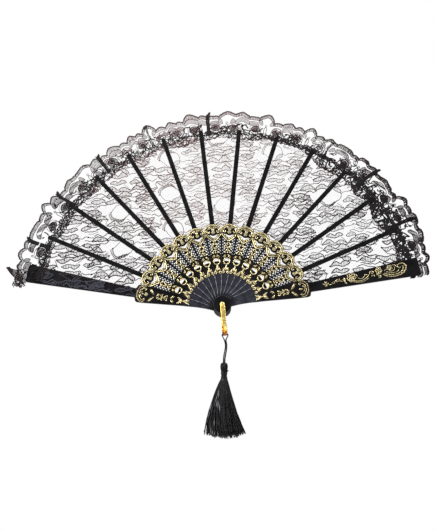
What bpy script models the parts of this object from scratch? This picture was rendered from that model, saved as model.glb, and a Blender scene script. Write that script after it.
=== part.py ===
"""Folding hand fan with a lace leaf, open, standing upright on its rivet.

The blades lie in the XZ plane and turn about the rivet, which runs along Y
through the origin. The front of the fan faces -Y. Outlines are drawn for a
blade that points straight up and are then turned to the blade's angle.
"""

import math

import bpy
from mathutils import Vector

MM = 0.001

# Blades. Angles are measured from +X, anticlockwise as seen from the front.
STICKS = 12
STICK_PITCH = 12.07
FIRST_STICK_ANGLE = 24.25
FRONT_GUARD_ANGLE = 11.45
REAR_GUARD_ANGLE = 169.32

STICK_THICK = 0.8 * MM
RIB_THICK = 0.5 * MM
GUARD_THICK = 2.0 * MM
BLADE_GAP = 0.3 * MM
RECESS = STICK_THICK - RIB_THICK
LAYER = STICK_THICK + BLADE_GAP
STACK = 2 * GUARD_THICK + STICKS * STICK_THICK + (STICKS + 1) * BLADE_GAP

HEAD_RADIUS = 9.2 * MM
PIVOT_HOLE = 1.7 * MM
COUNTRY_TOP = 91.0 * MM
RIB_HALF = 2.5 * MM
RIB_TIP_HALF = 2.35 * MM
STICK_LENGTH = 200.4 * MM
GUARD_LENGTH = 208.0 * MM
GUARD_FOOT_HALF = 4.95 * MM
GUARD_END_HALF = 9.8 * MM

# Leaf and trim, which are cloth.
CLOTH_THICK = 0.12 * MM
CLOTH_BEHIND_RIB = 0.2 * MM
LEAF_OUTER = 189.7 * MM
TRIM_INNER = 190.0 * MM
TRIM_OUTER = 217.0 * MM
SCALLOP = 2.6 * MM
SCALLOP_PITCH = 4.6
GUARD_TRIM_REACH = 3.4

# Rivet and bail.
PIN_RADIUS = 1.4 * MM
BAIL_WIDTH = 4.4 * MM
BAIL_THICK = 1.4 * MM
BAIL_DROP = 30.6 * MM
BAIL_GAP = 0.3 * MM
BAIL_HOLE = 1.7 * MM
BAIL_INNER_HALF = STACK / 2 + BAIL_GAP
BAIL_OUTER_HALF = BAIL_INNER_HALF + BAIL_THICK
CAP_RADIUS = 2.1 * MM
CAP_THICK = 1.2 * MM

# Cord and tassel.
CORD_RADIUS = 0.55 * MM
# Half width, half height and centre height of the loop over the bail.
CORD_LOOP = (3.4 * MM, 3.1 * MM, -30.5 * MM)
TASSEL_TOP = -59.0 * MM
POCKET_DEPTH = 3.0 * MM
POCKET_RADIUS = 1.75 * MM
NECK_TOP = -68.6 * MM
NECK_BOTTOM = -75.6 * MM
SKIRT_TOP = -75.9 * MM
SKIRT_BOTTOM = -134.5 * MM

# (half width, distance from the rivet) up the side of a stick, in mm.
STICK_SIDE = (
    (3.9, 8.35), (3.5, 11.5), (3.4, 17.0), (3.7, 26.0), (4.2, 34.0),
    (4.8, 42.0), (5.5, 50.0), (6.4, 57.5), (7.6, 66.5), (8.4, 73.5),
    (8.5, 76.5), (9.0, 79.5), (9.15, 82.3), (8.9, 84.9), (8.0, 87.3),
    (6.4, 89.3), (4.5, 90.4), (2.6, 91.0),
)
GUARD_SIDE = (
    (3.9, 8.35), (3.6, 11.5), (3.35, 18.0), (3.6, 27.0), (4.2, 34.0),
    (4.8, 41.0), (5.5, 48.0), (6.4, 56.0), (7.9, 70.0), (9.0, 80.0),
    (9.5, 86.0), (9.4, 89.2), (8.4, 90.8),
)
# Right half of the chevron window under the arch, from its upper tip inwards.
CHEVRON = ((4.5, 79.3), (2.7, 78.8), (1.5, 78.1))
CHEVRON_MIDDLE = (77.9, 74.9)
CHEVRON_LOW = (3.2, 77.4)
RING_AT = 49.4 * MM
RING_HOLE = 2.65 * MM
SLOT_LOW = (4.35, 58.6)
SLOT_HIGH = (5.1, 73.0)
SLOT_HALF = 0.6
# Inner edge of the leaf, just outside the arch above it, and where it meets a fold.
STICK_FOOT = ((0.0, 91.7), (3.0, 91.5), (5.0, 90.8), (6.9, 89.7), (8.6, 87.7))
STICK_FOLD_START = 87.0 * MM
GUARD_FOOT = ((0.0, 92.2), (4.6, 92.0), (8.8, 91.5))
GUARD_FOLD_START = 90.8 * MM
GUARD_LEAF_REACH = 2.2

BLACK = (0.014, 0.014, 0.017, 1.0)
LACE = (0.05, 0.04, 0.045, 1.0)
GOLD = (0.78, 0.50, 0.12, 1.0)
SILK = (0.008, 0.008, 0.010, 1.0)


def clear_scene():
    for obj in list(bpy.data.objects):
        bpy.data.objects.remove(obj, do_unlink=True)


def make_collections():
    fan = bpy.data.collections.new("hand_fan")
    cutters = bpy.data.collections.new("cutters")
    bpy.context.scene.collection.children.link(fan)
    bpy.context.scene.collection.children.link(cutters)
    return fan, cutters


def material(name, colour, metallic, roughness):
    made = bpy.data.materials.new(name)
    made.use_nodes = True
    shader = made.node_tree.nodes["Principled BSDF"]
    shader.inputs["Base Color"].default_value = colour
    shader.inputs["Metallic"].default_value = metallic
    shader.inputs["Roughness"].default_value = roughness
    return made


def arc(centre_x, centre_y, radius, start, end, steps):
    """Points on an arc, from start to end in degrees, both ends included."""
    points = []
    for i in range(steps + 1):
        angle = math.radians(start + (end - start) * i / steps)
        points.append((centre_x + radius * math.cos(angle), centre_y + radius * math.sin(angle)))
    return points


def mirrored(side):
    """A right-hand side read upwards, followed by its mirror image read downwards."""
    return side + [(-x, y) for x, y in reversed(side)]


def scaled(points):
    return [(x * MM, y * MM) for x, y in points]


def plate(name, outline, holes, thickness, collection):
    """A flat piece with its outline in the XY plane of the object."""
    data = bpy.data.curves.new(name, "CURVE")
    data.dimensions = "2D"
    data.fill_mode = "BOTH"
    data.extrude = thickness / 2
    for loop in [outline] + holes:
        spline = data.splines.new("POLY")
        spline.points.add(len(loop) - 1)
        for point, (x, y) in zip(spline.points, loop):
            point.co = (x, y, 0.0, 1.0)
        spline.use_cyclic_u = True
    obj = bpy.data.objects.new(name, data)
    collection.objects.link(obj)
    return obj


def as_mesh(obj):
    """The object's evaluated shape as an ordinary mesh object with the same name."""
    bpy.context.view_layer.update()
    graph = bpy.context.evaluated_depsgraph_get()
    mesh = bpy.data.meshes.new_from_object(obj.evaluated_get(graph))
    name = obj.name
    collections = list(obj.users_collection)
    matrix = obj.matrix_world.copy()
    bpy.data.objects.remove(obj, do_unlink=True)
    made = bpy.data.objects.new(name, mesh)
    for collection in collections:
        collection.objects.link(made)
    made.matrix_world = matrix
    weld = made.modifiers.new("weld", "WELD")
    weld.merge_threshold = 0.000005
    return made


def as_cutter(obj):
    obj.hide_render = True
    obj.display_type = "WIRE"
    return obj


def stand(obj, angle, y):
    """Stands a plate up in the XZ plane, facing -Y, with its +Y edge towards the angle."""
    obj.rotation_euler = (math.radians(90), math.radians(90 - angle), 0.0)
    obj.location = (0.0, y, 0.0)


def cut(obj, cutter, operation="DIFFERENCE"):
    modifier = obj.modifiers.new(operation.lower(), "BOOLEAN")
    modifier.operation = operation
    modifier.solver = "EXACT"
    modifier.object = cutter


def box_cutter(name, low, high, collection):
    mesh = bpy.data.meshes.new(name)
    corners = []
    for x in (low[0], high[0]):
        for y in (low[1], high[1]):
            for z in (low[2], high[2]):
                corners.append((x, y, z))
    faces = [(0, 1, 3, 2), (4, 6, 7, 5), (0, 4, 5, 1), (2, 3, 7, 6), (0, 2, 6, 4), (1, 5, 7, 3)]
    mesh.from_pydata(corners, [], faces)
    obj = bpy.data.objects.new(name, mesh)
    collection.objects.link(obj)
    return as_cutter(obj)


def head_arc(steps):
    """The lower part of the round head, from the left neck to the right neck."""
    start = math.degrees(math.atan2(STICK_SIDE[0][1], -STICK_SIDE[0][0]))
    end = math.degrees(math.atan2(STICK_SIDE[0][1], STICK_SIDE[0][0])) + 360.0
    return arc(0.0, 0.0, HEAD_RADIUS, start, end, steps)[1:-1]


def pivot_hole():
    return arc(0.0, 0.0, PIVOT_HOLE, 0.0, 337.5, 15)


def chevron_window():
    right = scaled(CHEVRON)
    left = [(-x, y) for x, y in reversed(right)]
    top, bottom = CHEVRON_MIDDLE
    low_x, low_y = CHEVRON_LOW
    lower = scaled([(-low_x, low_y), (0.0, bottom), (low_x, low_y)])
    return right + [(0.0, top * MM)] + left + lower


def half_moon():
    return arc(0.0, RING_AT, RING_HOLE, 5.0, 175.0, 9)


def side_slot(side):
    """A slot with round ends in the feather on one side of the stick."""
    x0, y0 = SLOT_LOW
    x1, y1 = SLOT_HIGH
    tilt = math.degrees(math.atan2(y1 - y0, side * (x1 - x0)))
    low = arc(side * x0, y0, SLOT_HALF, tilt + 90, tilt + 270, 4)
    high = arc(side * x1, y1, SLOT_HALF, tilt - 90, tilt + 90, 4)
    return scaled(low + high)


def stick_outline():
    side = scaled(STICK_SIDE)
    side.append((RIB_HALF, COUNTRY_TOP + 0.6 * MM))
    tip = arc(0.0, STICK_LENGTH - RIB_TIP_HALF, RIB_TIP_HALF, 0.0, 90.0, 4)
    side += tip[:-1]
    outline = side + [(0.0, STICK_LENGTH)] + [(-x, y) for x, y in reversed(side)]
    return outline + head_arc(14)


def guard_outline():
    side = scaled(GUARD_SIDE)
    side.append((GUARD_FOOT_HALF, COUNTRY_TOP + 0.6 * MM))
    side.append((GUARD_END_HALF, GUARD_LENGTH - 1.5 * MM))
    side.append((GUARD_END_HALF - 0.5 * MM, GUARD_LENGTH - 0.4 * MM))
    side.append((GUARD_END_HALF - 1.6 * MM, GUARD_LENGTH))
    return mirrored(side) + head_arc(14)


def recess_cutter(name, at_front, thickness, angle, y, cutters):
    """Thins the part of a blade that the leaf is glued to, on its back or its front."""
    low_y = -thickness
    high_y = -thickness / 2 + RECESS
    if not at_front:
        low_y, high_y = -high_y, -low_y
    # The plate's own Z axis points to the front of the fan once it stands.
    low = (-30 * MM, COUNTRY_TOP + 0.3 * MM, min(-low_y, -high_y))
    high = (30 * MM, GUARD_LENGTH + 10 * MM, max(-low_y, -high_y))
    cutter = box_cutter(name, low, high, cutters)
    stand(cutter, angle, y)
    return cutter


def build_stick(number, y, black, fan, cutters):
    name = f"stick_{number:02d}"
    angle = FIRST_STICK_ANGLE + STICK_PITCH * (number - 1)
    holes = [pivot_hole(), chevron_window(), half_moon(), side_slot(1), side_slot(-1)]
    stick = plate(name, stick_outline(), holes, STICK_THICK, fan)
    stand(stick, angle, y)
    stick = as_mesh(stick)
    cut(stick, recess_cutter(f"recess_{number:02d}", False, STICK_THICK, angle, y, cutters))
    stick.data.materials.append(black)
    return angle


def build_guard(name, angle, y, leaf_in_front, black, fan, cutters):
    guard = plate(name, guard_outline(), [pivot_hole()], GUARD_THICK, fan)
    stand(guard, angle, y)
    guard = as_mesh(guard)
    cutter = recess_cutter(f"recess_{name}", leaf_in_front, GUARD_THICK, angle, y, cutters)
    cut(guard, cutter)
    guard.data.materials.append(black)


def sector_point(radius, offset):
    """A point at this radius, offset in degrees clockwise from straight up."""
    angle = math.radians(90.0 - offset)
    return radius * math.cos(angle), radius * math.sin(angle)


def leaf_outline(left, right, left_closed, right_closed):
    """A gore of the leaf from left to right, in degrees either side of its blade.

    A closed side is where the cloth ends on a guard's edge instead of at a fold.
    """
    on_guard = left_closed or right_closed
    foot = scaled(GUARD_FOOT if on_guard else STICK_FOOT)
    fold_start = GUARD_FOLD_START if on_guard else STICK_FOLD_START
    rightwards = foot[:2] if right_closed else foot + [sector_point(fold_start, right)]
    leftwards = foot[1:2] if left_closed else foot[1:] + [sector_point(fold_start, -left)]
    outer = []
    for i in range(9):
        outer.append(sector_point(LEAF_OUTER, right + (left - right) * i / 8))
    return [(-x, y) for x, y in reversed(leftwards)] + rightwards + outer


def trim_outline(left, right, angle):
    """A length of the gathered border with its scalloped outer edge."""
    inner = []
    outer = []
    for i in range(7):
        inner.append(sector_point(TRIM_INNER, left + (right - left) * i / 6))
    steps = max(8, round((right - left) / SCALLOP_PITCH * 6))
    for i in range(steps + 1):
        at = right + (left - right) * i / steps
        wave = abs(math.sin(math.pi * (angle - at) / SCALLOP_PITCH))
        outer.append(sector_point(TRIM_OUTER + SCALLOP * wave, at))
    return inner + outer


def build_cloth(label, angle, left, right, y, lace, fan, closed=(False, False)):
    """The gore of leaf and the length of trim that one blade carries."""
    # A gore that ends on a guard stops inside the guard's long edge.
    leaf_left = -GUARD_LEAF_REACH if closed[0] else left
    leaf_right = GUARD_LEAF_REACH if closed[1] else right
    gore = plate(f"leaf_{label}", leaf_outline(leaf_left, leaf_right, *closed), [], CLOTH_THICK, fan)
    stand(gore, angle, y)
    as_mesh(gore).data.materials.append(lace)
    trim = plate(f"trim_{label}", trim_outline(left, right, angle), [], CLOTH_THICK, fan)
    stand(trim, angle, y)
    as_mesh(trim).data.materials.append(lace)


def build_blades(black, lace, fan, cutters):
    half_pitch = STICK_PITCH / 2
    front_half = (FIRST_STICK_ANGLE - FRONT_GUARD_ANGLE) / 2
    last_angle = FIRST_STICK_ANGLE + STICK_PITCH * (STICKS - 1)
    rear_half = (REAR_GUARD_ANGLE - last_angle) / 2
    front_y = -STACK / 2 + GUARD_THICK / 2
    build_guard("front_guard", FRONT_GUARD_ANGLE, front_y, False, black, fan, cutters)
    cloth_y = -STACK / 2 + GUARD_THICK - RECESS + CLOTH_BEHIND_RIB + CLOTH_THICK / 2
    ends = (-front_half, GUARD_TRIM_REACH)
    build_cloth("front_guard", FRONT_GUARD_ANGLE, *ends, cloth_y, lace, fan, (False, True))
    first_y = -STACK / 2 + GUARD_THICK + BLADE_GAP + STICK_THICK / 2
    for number in range(1, STICKS + 1):
        y = first_y + (number - 1) * LAYER
        angle = build_stick(number, y, black, fan, cutters)
        cloth_y = y + STICK_THICK / 2 - RECESS + CLOTH_BEHIND_RIB + CLOTH_THICK / 2
        left = -rear_half if number == STICKS else -half_pitch
        right = front_half if number == 1 else half_pitch
        build_cloth(f"{number:02d}", angle, left, right, cloth_y, lace, fan)
    rear_y = STACK / 2 - GUARD_THICK / 2
    build_guard("rear_guard", REAR_GUARD_ANGLE, rear_y, True, black, fan, cutters)
    cloth_y = STACK / 2 - GUARD_THICK + RECESS - CLOTH_BEHIND_RIB - CLOTH_THICK / 2
    ends = (-GUARD_TRIM_REACH, rear_half)
    build_cloth("rear_guard", REAR_GUARD_ANGLE, *ends, cloth_y, lace, fan, (True, False))


def lathe(name, profile, steps, axis, collection):
    """Turns a profile of (radius, height) about Z, or about Y when axis is Y."""
    mesh = bpy.data.meshes.new(name)
    mesh.from_pydata([(r, 0.0, h) for r, h in profile], [(i, i + 1) for i in range(len(profile) - 1)], [])
    obj = bpy.data.objects.new(name, mesh)
    collection.objects.link(obj)
    screw = obj.modifiers.new("screw", "SCREW")
    screw.steps = steps
    screw.render_steps = steps
    screw.use_merge_vertices = True
    screw.merge_threshold = 0.00001
    screw.use_smooth_shade = False
    if axis == "Y":
        obj.rotation_euler = (math.radians(-90), 0.0, 0.0)
    return obj


def build_rivet(gold, fan):
    end = BAIL_OUTER_HALF + BAIL_GAP
    pin = lathe("rivet_pin", [(0, end), (PIN_RADIUS, end), (PIN_RADIUS, -end), (0, -end)], 20, "Y", fan)
    pin.data.materials.append(gold)
    for name, sign in (("rivet_cap_front", -1), ("rivet_cap_rear", 1)):
        near = end + 0.3 * MM
        dome = []
        for i in range(5):
            angle = math.radians(90.0 - 22.5 * i)
            dome.append((CAP_RADIUS * math.cos(angle), CAP_THICK * math.sin(angle) * 0.8 + CAP_THICK * 0.2))
        dome[0] = (0.0, dome[0][1])
        cap = lathe(name, dome + [(CAP_RADIUS, 0.0), (0.0, 0.0)], 20, "Y", fan)
        if sign < 0:
            cap.rotation_euler = (math.radians(90), 0.0, 0.0)
        cap.location = (0.0, sign * near, 0.0)
        cap.data.materials.append(gold)


def bail_side_outline():
    """The U of the bail seen along X: (y, z) of the outer line, then of the inner line."""
    bend = BAIL_DROP - BAIL_OUTER_HALF
    outer = arc(0.0, -bend, BAIL_OUTER_HALF, 0.0, -180.0, 16)
    inner = arc(0.0, -bend, BAIL_INNER_HALF, -180.0, 0.0, 16)
    top = 4.0 * MM
    return [(BAIL_OUTER_HALF, top)] + outer + [(-BAIL_OUTER_HALF, top), (-BAIL_INNER_HALF, top)] + inner + [
        (BAIL_INNER_HALF, top)
    ]


def build_bail(gold, fan, cutters):
    bail = plate("bail", bail_side_outline(), [], BAIL_WIDTH, fan)
    bail.rotation_euler = (math.radians(90), 0.0, math.radians(90))
    bail = as_mesh(bail)
    half = BAIL_WIDTH / 2 - 0.05 * MM
    face = arc(0.0, 0.0, half, 0.0, 180.0, 10) + [(-half, -BAIL_DROP - 3 * MM), (half, -BAIL_DROP - 3 * MM)]
    hole = arc(0.0, 0.0, BAIL_HOLE, 0.0, 337.5, 15)
    shape = plate("bail_shape", face, [hole], 60 * MM, cutters)
    shape.rotation_euler = (math.radians(90), 0.0, 0.0)
    shape = as_cutter(as_mesh(shape))
    cut(bail, shape, "INTERSECT")
    bail.data.materials.append(gold)


def tube(name, points, radius, resolution, collection):
    data = bpy.data.curves.new(name, "CURVE")
    data.dimensions = "3D"
    data.bevel_depth = radius
    data.bevel_resolution = resolution
    data.use_fill_caps = True
    spline = data.splines.new("POLY")
    spline.points.add(len(points) - 1)
    for point, (x, y, z) in zip(spline.points, points):
        point.co = (x, y, z, 1.0)
    obj = bpy.data.objects.new(name, data)
    collection.objects.link(obj)
    return obj


def smooth(points, steps):
    """A smooth curve through the points, as closely spaced points."""
    ends = [points[0]] + list(points) + [points[-1]]
    curve = []
    for i in range(1, len(ends) - 2):
        p0, p1, p2, p3 = (Vector(p) for p in ends[i - 1:i + 3])
        for k in range(steps):
            t = k / steps
            a = 2 * p1 + (p2 - p0) * t
            b = (2 * p0 - 5 * p1 + 4 * p2 - p3) * t ** 2
            c = (3 * p1 - p0 - 3 * p2 + p3) * t ** 3
            curve.append(tuple((a + b + c) / 2))
    return curve + [tuple(points[-1])]


def cord_path():
    """From the tassel up one side, over the bottom of the bail and back down."""
    foot = TASSEL_TOP - POCKET_DEPTH + 0.4 * MM
    strand_x = 0.25 * MM
    strand_y = -(CORD_RADIUS + 0.1 * MM)
    up = [(strand_x, strand_y, foot), (strand_x, strand_y, -55.0 * MM)]
    up += [(strand_x, strand_y, -48.0 * MM), (strand_x, strand_y, -41.5 * MM)]
    up += [(0.45 * MM, strand_y, -37.8 * MM), (1.15 * MM, strand_y * 0.7, -35.4 * MM)]
    up += [(2.3 * MM, strand_y * 0.4, -33.5 * MM)]
    for degrees in (-15, 10, 35, 62):
        angle = math.radians(degrees)
        x = CORD_LOOP[0] * math.cos(angle)
        up.append((x, 0.0, CORD_LOOP[2] + CORD_LOOP[1] * math.sin(angle)))
    top = (0.0, 0.0, CORD_LOOP[2] + CORD_LOOP[1])
    return smooth(up + [top] + [(-x, -y, z) for x, y, z in reversed(up)], 3)


def build_tassel(silk, fan):
    cord = tube("tassel_cord", cord_path(), CORD_RADIUS, 2, fan)
    cord.data.materials.append(silk)
    top = TASSEL_TOP
    pocket = [(0.0, top - POCKET_DEPTH), (POCKET_RADIUS, top - POCKET_DEPTH), (POCKET_RADIUS, top)]
    outside = [(2.2 * MM, top), (3.2 * MM, top - 1.0 * MM), (3.75 * MM, top - 3.2 * MM)]
    outside += [(3.7 * MM, top - 6.4 * MM), (3.1 * MM, top - 8.6 * MM), (2.7 * MM, top - 9.3 * MM)]
    head = lathe("tassel_head", pocket + outside + [(0.0, top - 9.3 * MM)], 20, "Z", fan)
    head.data.materials.append(silk)
    neck = []
    turns = 4
    for i in range(turns * 4 + 1):
        share = i / (turns * 4)
        bulge = 0.28 * MM * abs(math.sin(math.pi * turns * share))
        neck.append((2.55 * MM + bulge, NECK_TOP + (NECK_BOTTOM - NECK_TOP) * share))
    binding = lathe("tassel_binding", [(0.0, NECK_TOP)] + neck + [(0.0, NECK_BOTTOM)], 20, "Z", fan)
    binding.data.materials.append(silk)
    build_skirt(silk, fan)


def build_skirt(silk, fan):
    """The fringe as one solid: round at the binding and a flattened bell at the bottom."""
    levels = 9
    around = 28
    points = []
    faces = []
    for i in range(levels + 1):
        share = i / levels
        z = SKIRT_TOP + (SKIRT_BOTTOM - SKIRT_TOP) * share
        half_x = (2.7 + 7.2 * share + 9.4 * share ** 2) * MM
        half_y = (2.7 + 4.6 * share + 1.4 * share ** 2) * MM
        for k in range(around):
            angle = 2 * math.pi * k / around
            ripple = 1.0 + 0.03 * share * (-1) ** k
            points.append((half_x * ripple * math.cos(angle), half_y * ripple * math.sin(angle), z))
    for i in range(levels):
        for k in range(around):
            a = i * around + k
            b = i * around + (k + 1) % around
            faces.append((a, a + around, b + around, b))
    faces.append(tuple(range(around)))
    faces.append(tuple(range((levels + 1) * around - 1, levels * around - 1, -1)))
    mesh = bpy.data.meshes.new("tassel_skirt")
    mesh.from_pydata(points, [], faces)
    obj = bpy.data.objects.new("tassel_skirt", mesh)
    fan.objects.link(obj)
    obj.data.materials.append(silk)


def main():
    clear_scene()
    fan, cutters = make_collections()
    black = material("black_plastic", BLACK, 0.0, 0.35)
    lace = material("black_lace", LACE, 0.0, 0.9)
    gold = material("gold_metal", GOLD, 1.0, 0.3)
    silk = material("black_rayon", SILK, 0.0, 0.5)
    build_blades(black, lace, fan, cutters)
    build_rivet(gold, fan)
    build_bail(gold, fan, cutters)
    build_tassel(silk, fan)


main()
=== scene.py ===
"""Looks of an open folding fan: pierced and gilded sticks, a lace leaf with a
gathered border, a hammered bail and a tassel.

Shapes are worked out in millimetres. A blade is drawn pointing straight up:
u runs across it to the right, r runs along it from the rivet, and d runs
forwards, towards the viewer of the fan's front.
"""
import math

import bpy
import numpy as np
from mathutils import Matrix, Vector

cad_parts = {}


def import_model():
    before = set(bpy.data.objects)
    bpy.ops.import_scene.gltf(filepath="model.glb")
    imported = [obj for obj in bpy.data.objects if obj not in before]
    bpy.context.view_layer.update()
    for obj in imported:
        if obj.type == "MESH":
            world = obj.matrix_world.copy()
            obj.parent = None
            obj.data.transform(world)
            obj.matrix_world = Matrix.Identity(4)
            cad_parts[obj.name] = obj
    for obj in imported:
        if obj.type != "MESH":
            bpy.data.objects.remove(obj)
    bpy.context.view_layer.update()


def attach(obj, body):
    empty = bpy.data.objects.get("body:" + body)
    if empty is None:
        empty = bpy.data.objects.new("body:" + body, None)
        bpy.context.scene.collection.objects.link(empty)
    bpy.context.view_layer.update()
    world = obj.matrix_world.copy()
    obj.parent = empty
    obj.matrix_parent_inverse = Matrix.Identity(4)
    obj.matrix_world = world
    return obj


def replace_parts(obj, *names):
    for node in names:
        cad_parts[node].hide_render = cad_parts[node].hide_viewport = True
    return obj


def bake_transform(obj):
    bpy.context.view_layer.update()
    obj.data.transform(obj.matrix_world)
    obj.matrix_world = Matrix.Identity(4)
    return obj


MM = 0.001

# The fan as packed, in millimetres and degrees.
STICKS = 12
FRONT_ANGLE = 11.45
REAR_ANGLE = 169.32
STICK_THICK = 0.8
RIB_THICK = 0.5
GUARD_THICK = 2.0
GUARD_Y = 7.75
HEAD_RADIUS = 9.2
PIVOT_HOLE = 1.7
COUNTRY_TOP = 91.0
RIB_HALF = 2.5
STICK_LENGTH = 200.4
GUARD_LENGTH = 208.0
LEAF_INNER = 88.0
LEAF_OUTER = 193.5

# Blade 0 is the front guard, 1 to 12 are the sticks from the right, 13 is the rear guard.
STICK_NUMBERS = range(1, STICKS + 1)
BLADE_ANGLES = [FRONT_ANGLE, *(24.25 + 12.07 * (n - 1) for n in STICK_NUMBERS), REAR_ANGLE]
STICK_YS = [-6.05 + 1.1 * (n - 1) for n in STICK_NUMBERS]
BODIES = ["front_blade", *("core" if n == 7 else f"blade_{n:02d}" for n in STICK_NUMBERS), "rear_blade"]
LABELS = ["front_guard", *(f"{n:02d}" for n in STICK_NUMBERS), "rear_guard"]
# The middle of the cloth lies behind a stick, and in front of the rear guard.
CLOTH_YS = [-6.74, *(y + 0.39 for y in STICK_YS), 6.79]

RANDOM = np.random.default_rng(20)


# ---------------------------------------------------------------- mesh tools


def linked(name, data):
    obj = bpy.data.objects.new(name, data)
    bpy.context.scene.collection.objects.link(obj)
    return obj


class Shape:
    """Points and faces collected in millimetres and then made into one object."""

    def __init__(self):
        self.points, self.quads, self.tris, self.tints = [], [np.empty((0, 4), int)], [np.empty((0, 3), int)], []
        self.count = 0

    def add(self, points, quads, tris=(), tint=0.0):
        points = np.asarray(points, float).reshape(-1, 3)
        self.quads.append(np.asarray(quads, int) + self.count)
        self.tris.append(np.asarray(tris, int).reshape(-1, 3) + self.count)
        self.points.append(points)
        self.tints.append(np.broadcast_to(np.asarray(tint, float), (len(points),)))
        self.count += len(points)

    def made(self, name, material, smooth=True, tinted=False):
        points, quads, tris = [np.concatenate(part) for part in (self.points, self.quads, self.tris)]
        mesh = bpy.data.meshes.new(name)
        mesh.vertices.add(len(points))
        mesh.vertices.foreach_set("co", points.ravel() * MM)
        loops = np.concatenate([quads.ravel(), tris.ravel()])
        mesh.loops.add(len(loops))
        mesh.loops.foreach_set("vertex_index", loops.astype(np.int32))
        starts = np.concatenate([np.arange(len(quads)) * 4, len(quads) * 4 + np.arange(len(tris)) * 3])
        mesh.polygons.add(len(starts))
        mesh.polygons.foreach_set("loop_start", starts.astype(np.int32))
        mesh.update(calc_edges=True)
        mesh.validate()
        mesh.polygons.foreach_set("use_smooth", np.full(len(mesh.polygons), smooth))
        if tinted:
            tint = mesh.attributes.new("tint", "FLOAT", "POINT")
            tint.data.foreach_set("value", np.concatenate(self.tints).astype(np.float32))
        mesh.materials.append(material)
        return linked(name, mesh)

    def mesh(self, name, material):
        obj = self.made(name, material)
        mesh = obj.data
        bpy.data.objects.remove(obj, do_unlink=True)
        return mesh


def skin(rows, around, turned=False, loop=False, open_rows=False):
    """Quads between rows of points, and the triangles that close both ends."""
    ring = np.arange(around - open_rows)
    row = np.arange(rows if loop else rows - 1)[:, None]
    a, b = row * around + ring, row * around + (ring + 1) % around
    after = (row + 1) % rows * around
    c, d = after + (ring + 1) % around, after + ring
    quads = np.stack([a, d, c, b] if turned else [a, b, c, d], -1).reshape(-1, 4)
    if loop or open_rows:
        return quads, []
    k, last = np.arange(1, around - 1), (rows - 1) * around
    near, far = np.stack([0 * k, k + 1, k], -1), last + np.stack([0 * k, k, k + 1], -1)
    tris = np.concatenate([near, far])
    return quads, tris[:, ::-1] if turned else tris


def smooth(points, step, closed=False):
    """Points every step or so along a smooth curve through the given points."""
    points = np.asarray(points, float)
    if closed:
        ends = np.vstack([points[-1:], points, points[:2]])
    else:
        ends = np.vstack([2 * points[:1] - points[1:2], points, 2 * points[-1:] - points[-2:-1]])
    curve = []
    for p0, p1, p2, p3 in zip(ends, ends[1:], ends[2:], ends[3:]):
        count = max(1, int(round(np.linalg.norm(p2 - p1) / step)))
        t = (np.arange(count) / count)[:, None]
        curve.append(0.5 * (2 * p1 + (p2 - p0) * t + (2 * p0 - 5 * p1 + 4 * p2 - p3) * t**2
                            + (3 * p1 - p0 - 3 * p2 + p3) * t**3))
    curve = np.concatenate(curve)
    return curve if closed else np.vstack([curve, points[-1:]])


def unit(vectors):
    return vectors / np.maximum(np.linalg.norm(vectors, axis=-1, keepdims=True), 1e-9)


def tangents(path, closed=False):
    return unit(np.roll(path, -1, 0) - np.roll(path, 1, 0) if closed else np.gradient(path, axis=0))


def distances(path):
    """How far along the path each of its points lies."""
    return np.concatenate([[0], np.cumsum(np.linalg.norm(np.diff(path, axis=0), axis=1))])


RIDGE = [(-0.5, 0.0), (-0.4, 0.62), (0.0, 1.0), (0.4, 0.62), (0.5, 0.0)]
ROUND = [(0.5 * math.cos(a), 0.5 * math.sin(a)) for a in np.radians(np.arange(180, -180, -45))]
DIAMOND = [(-0.5, 0.0), (0.0, 0.5), (0.5, 0.0), (0.0, -0.5)]
TRIANGLE = DIAMOND[:3]


def swept(shape, path, side, up, profile, wide, high, closed=False, tint=0.0):
    """A closed tube of the profile along the path; wide and high scale it at each point."""
    count, profile = len(path), np.asarray(profile, float)
    wide, high = [np.broadcast_to(np.asarray(size, float), (count,))[:, None, None] for size in (wide, high)]
    points = path[:, None] + side[:, None] * (profile[:, :1] * wide) + up[:, None] * (profile[:, 1:] * high)
    shape.add(points, *skin(count, len(profile), True, closed), tint)


def strand(shape, path, outward, width, high, profile=ROUND, tint=0.0):
    """A thread along the path, with the top of its profile turned outward."""
    along = tangents(path)
    side = unit(np.cross(along, outward))
    swept(shape, path, side, np.cross(side, along), profile, width, high, tint=tint)


def mirrored(points):
    return [(-u, r) for u, r in points]


def arc(centre, radius, start, end, steps):
    turns = np.radians(np.linspace(start, end, steps + 1))
    return [(centre[0] + radius * math.cos(t), centre[1] + radius * math.sin(t)) for t in turns]


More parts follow.
